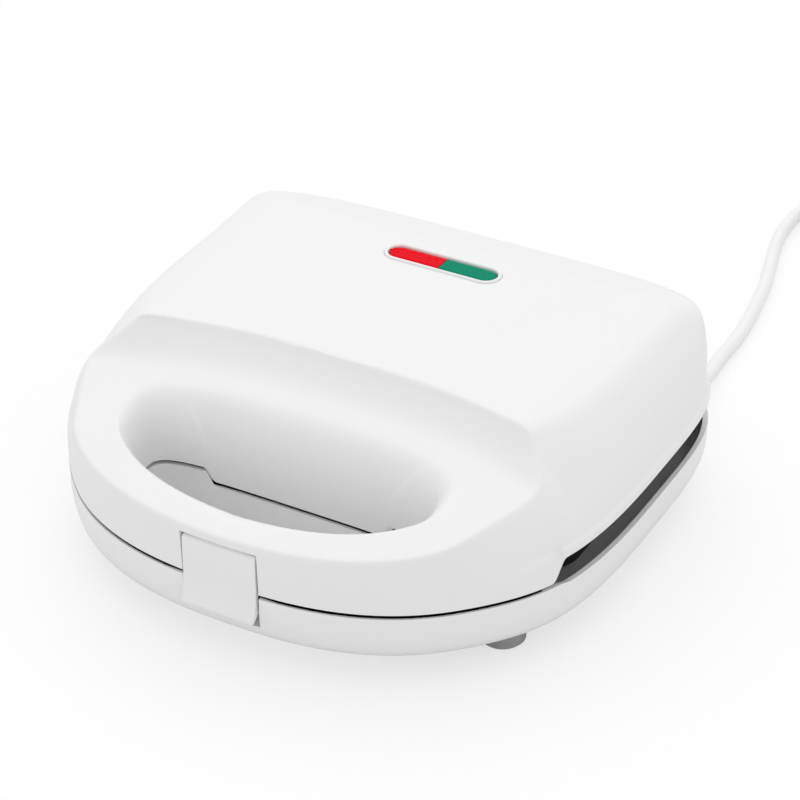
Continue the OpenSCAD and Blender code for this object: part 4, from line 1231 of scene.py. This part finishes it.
relief_soft = moulded_plastic("relief_soft", (0.88, 0.88, 0.87), 0.5)
relief_line = through([(cord_x, 92.4, cord_z)] + cord_run[1:5], 6)
relief_points = [point for point in relief_line
                 if relief_from_y <= point[1] <= relief_from_y + relief_length]
relief = made_by(ribbed_sleeve_tree(relief_soft), "ribbed_relief", relief_points,
                 [(i, i + 1) for i in range(len(relief_points) - 1)],
                 {"Wide radius": relief_wide_r * MM, "Narrow radius": relief_narrow_r * MM,
                  "Rib height": relief_rib_h * MM, "Ribs": relief_ribs})
collars = [drum("collar", -half, half, 0, 0, collar_r) for half in collar_halves]
for collar, y in zip(collars, collar_places_y):
    for vertex in collar.data.vertices:
        x, z = vertex.co.y, vertex.co.z
        vertex.co = (cord_x * MM - x, y * MM + vertex.co.x, cord_z * MM + z)
    outward(collar.data)
outward(relief.data)
dress(as_one("cord_relief", [relief] + collars, 40), relief_soft, "housing_white", "base", "cord_bushing")


def braided_sleeve():
    """Glass braid on the loom: two crossing sets of threads."""
    material, shader = finish_named("glass_braid")
    place = place_on_piece(material)
    weave = banded(material, place, "DIAGONAL", 420, 0.4) * banded(material, place, "Z", 420, 0.4)
    tint = between(material, weave, (0.7, 0.68, 0.6), (0.9, 0.89, 0.84))
    bump = raised(material, 0.5, 0.0002, weave)
    shade(material, shader, Base_Color=tint, Roughness=weave * -0.15 + 0.75, Normal=bump)
    return material


keep(braided_sleeve(), "loom_sleeve")
keep(moulded_plastic("terminal_nylon", (0.86, 0.85, 0.8), 0.45, 0.1, 0.05), "terminal_block", "cord_clamp")


# ---- Plug --------------------------------------------------------------------------------------------
# A moulded two pin plug in the cord's own plastic, with grip ribs and bright round pins.
plug_from_x = 150
plug_length = 45
plug_z = 18.5
plug_y = 387
plug_widest = 18.3
plug_flat = 0.86
plug_profile = [(0, 4.6), (10, 5.4), (17, 11.5), (23, 16.4), (30, 17.6), (40, 17.9), (44, 17.6), (45, 16.8)]
grip_ribs = (25.5, 28.5, 31.5, 34.5, 37.5)
grip_rib_h = 0.5
grip_rib_half = 1.2


def plug_moulding():
    """A turned body, flattened from above and below, with ribs round its grip."""
    spots = np.array(plug_profile)
    xs = np.linspace(0, plug_length, 91)
    radii = np.interp(xs, spots[:, 0], spots[:, 1])
    weight = np.array((1, 2, 3, 2, 1)) / 9
    radii[2:-2] = np.convolve(radii, weight, "valid")
    turns = 56
    points = []
    for x, r in zip(xs, radii):
        rib = max(cos(min(abs(x - place) / grip_rib_half, 1) * pi / 2) for place in grip_ribs)
        for i in range(turns):
            a = 2 * pi * i / turns
            side = abs(cos(a)) ** 4
            grown = min(r + grip_rib_h * rib * side, plug_widest)
            points.append((plug_from_x + x, plug_y + grown * cos(a),
                           plug_z + min(grown, r) * plug_flat * sin(a)))
    piece = new_piece("plug_moulding", points, tube_faces(len(xs), turns))
    outward(piece.data)
    return plain_mesh(piece, 50)


dress(plug_moulding(), cord_white, "cord_white", "base", "plug_body")
keep(plain_steel("plug_pin_nickel", (0.78, 0.77, 0.74), 0.14, (0.1, 1, 1)), "plug_pins")


# ---- Feet -----------------------------------------------------------------------------------------------
# Four grey rubber feet pushed into the underside; the mould leaves them matt and a little dusty.
def foot_rubber():
    """Grey rubber with the grain of its mould and a little dust."""
    material, shader = finish_named("foot_rubber_grey")
    place = place_on_piece(material)
    grain = noise(material, place, 1800, 3)
    dust = noise(material, place, 160, 2)
    tint = between(material, dust, (0.26, 0.26, 0.26), (0.38, 0.38, 0.375))
    bump = raised(material, 0.4, 0.0002, grain)
    shade(material, shader, Base_Color=tint, Roughness=grain * 0.1 + dust * 0.1 + 0.65, Normal=bump)
    return material


keep(foot_rubber(), "foot_front_left", "foot_front_right", "foot_rear_left", "foot_rear_right")


# ---- Stage -------------------------------------------------------------------
# White floor and an even white room, with one large soft lamp above and behind, to the left.
shadow_lift = 0.62
floor = block("floor", (-6000, -6000, -20), (6000, 6000, 0))
floor_material, floor_shader = finish_named("floor_white")
seen = node_of(floor_material, "ShaderNodeLightPath", output=0)
floor_tint = node_of(floor_material, "ShaderNodeMix", {"data_type": "RGBA"},
                     {0: seen, 6: (0.86, 0.86, 0.86, 1), 7: (1, 1, 1, 1)}, output=2)
shade(floor_material, floor_shader, Base_Color=floor_tint)
glow = node_of(floor_material, "ShaderNodeEmission")
lit = Link(floor_material.node_tree, floor_shader.outputs[0])
lifted = node_of(floor_material, "ShaderNodeMixShader", {}, {0: seen * shadow_lift, 1: lit, 2: glow})
join(floor_material.node_tree, floor_material.node_tree.nodes["Material Output"], {"Surface": lifted})
floor_shader.inputs["Roughness"].default_value = 0.9
floor_shader.inputs["Specular IOR Level"].default_value = 0.0
floor.data.materials.append(floor_material)

room_level = 0.87
lamp_level = 0.52
world = bpy.data.worlds.new("studio")
world.use_nodes = True
camera_ray, glossy_ray, passed_ray = (node_of(world, "ShaderNodeLightPath", output=ray + " Ray")
                                      for ray in ("Is Camera", "Is Glossy", "Is Transmission"))
shown = camera_ray.at_least(glossy_ray).at_least(passed_ray)
level = node_of(world, "ShaderNodeMapRange", {}, {"To Min": room_level, "To Max": 1.0, "Value": shown})
join(world.node_tree, world.node_tree.nodes["Background"], {"Strength": level, "Color": (1, 1, 1, 1)})
scene.world = world

lamp = bpy.data.objects.new("soft_lamp", bpy.data.lights.new("soft_lamp", "SUN"))
lamp.data.energy = lamp_level
lamp.data.angle = radians(60)
lamp.rotation_euler = (radians(-28), radians(-22), 0)
scene.collection.objects.link(lamp)
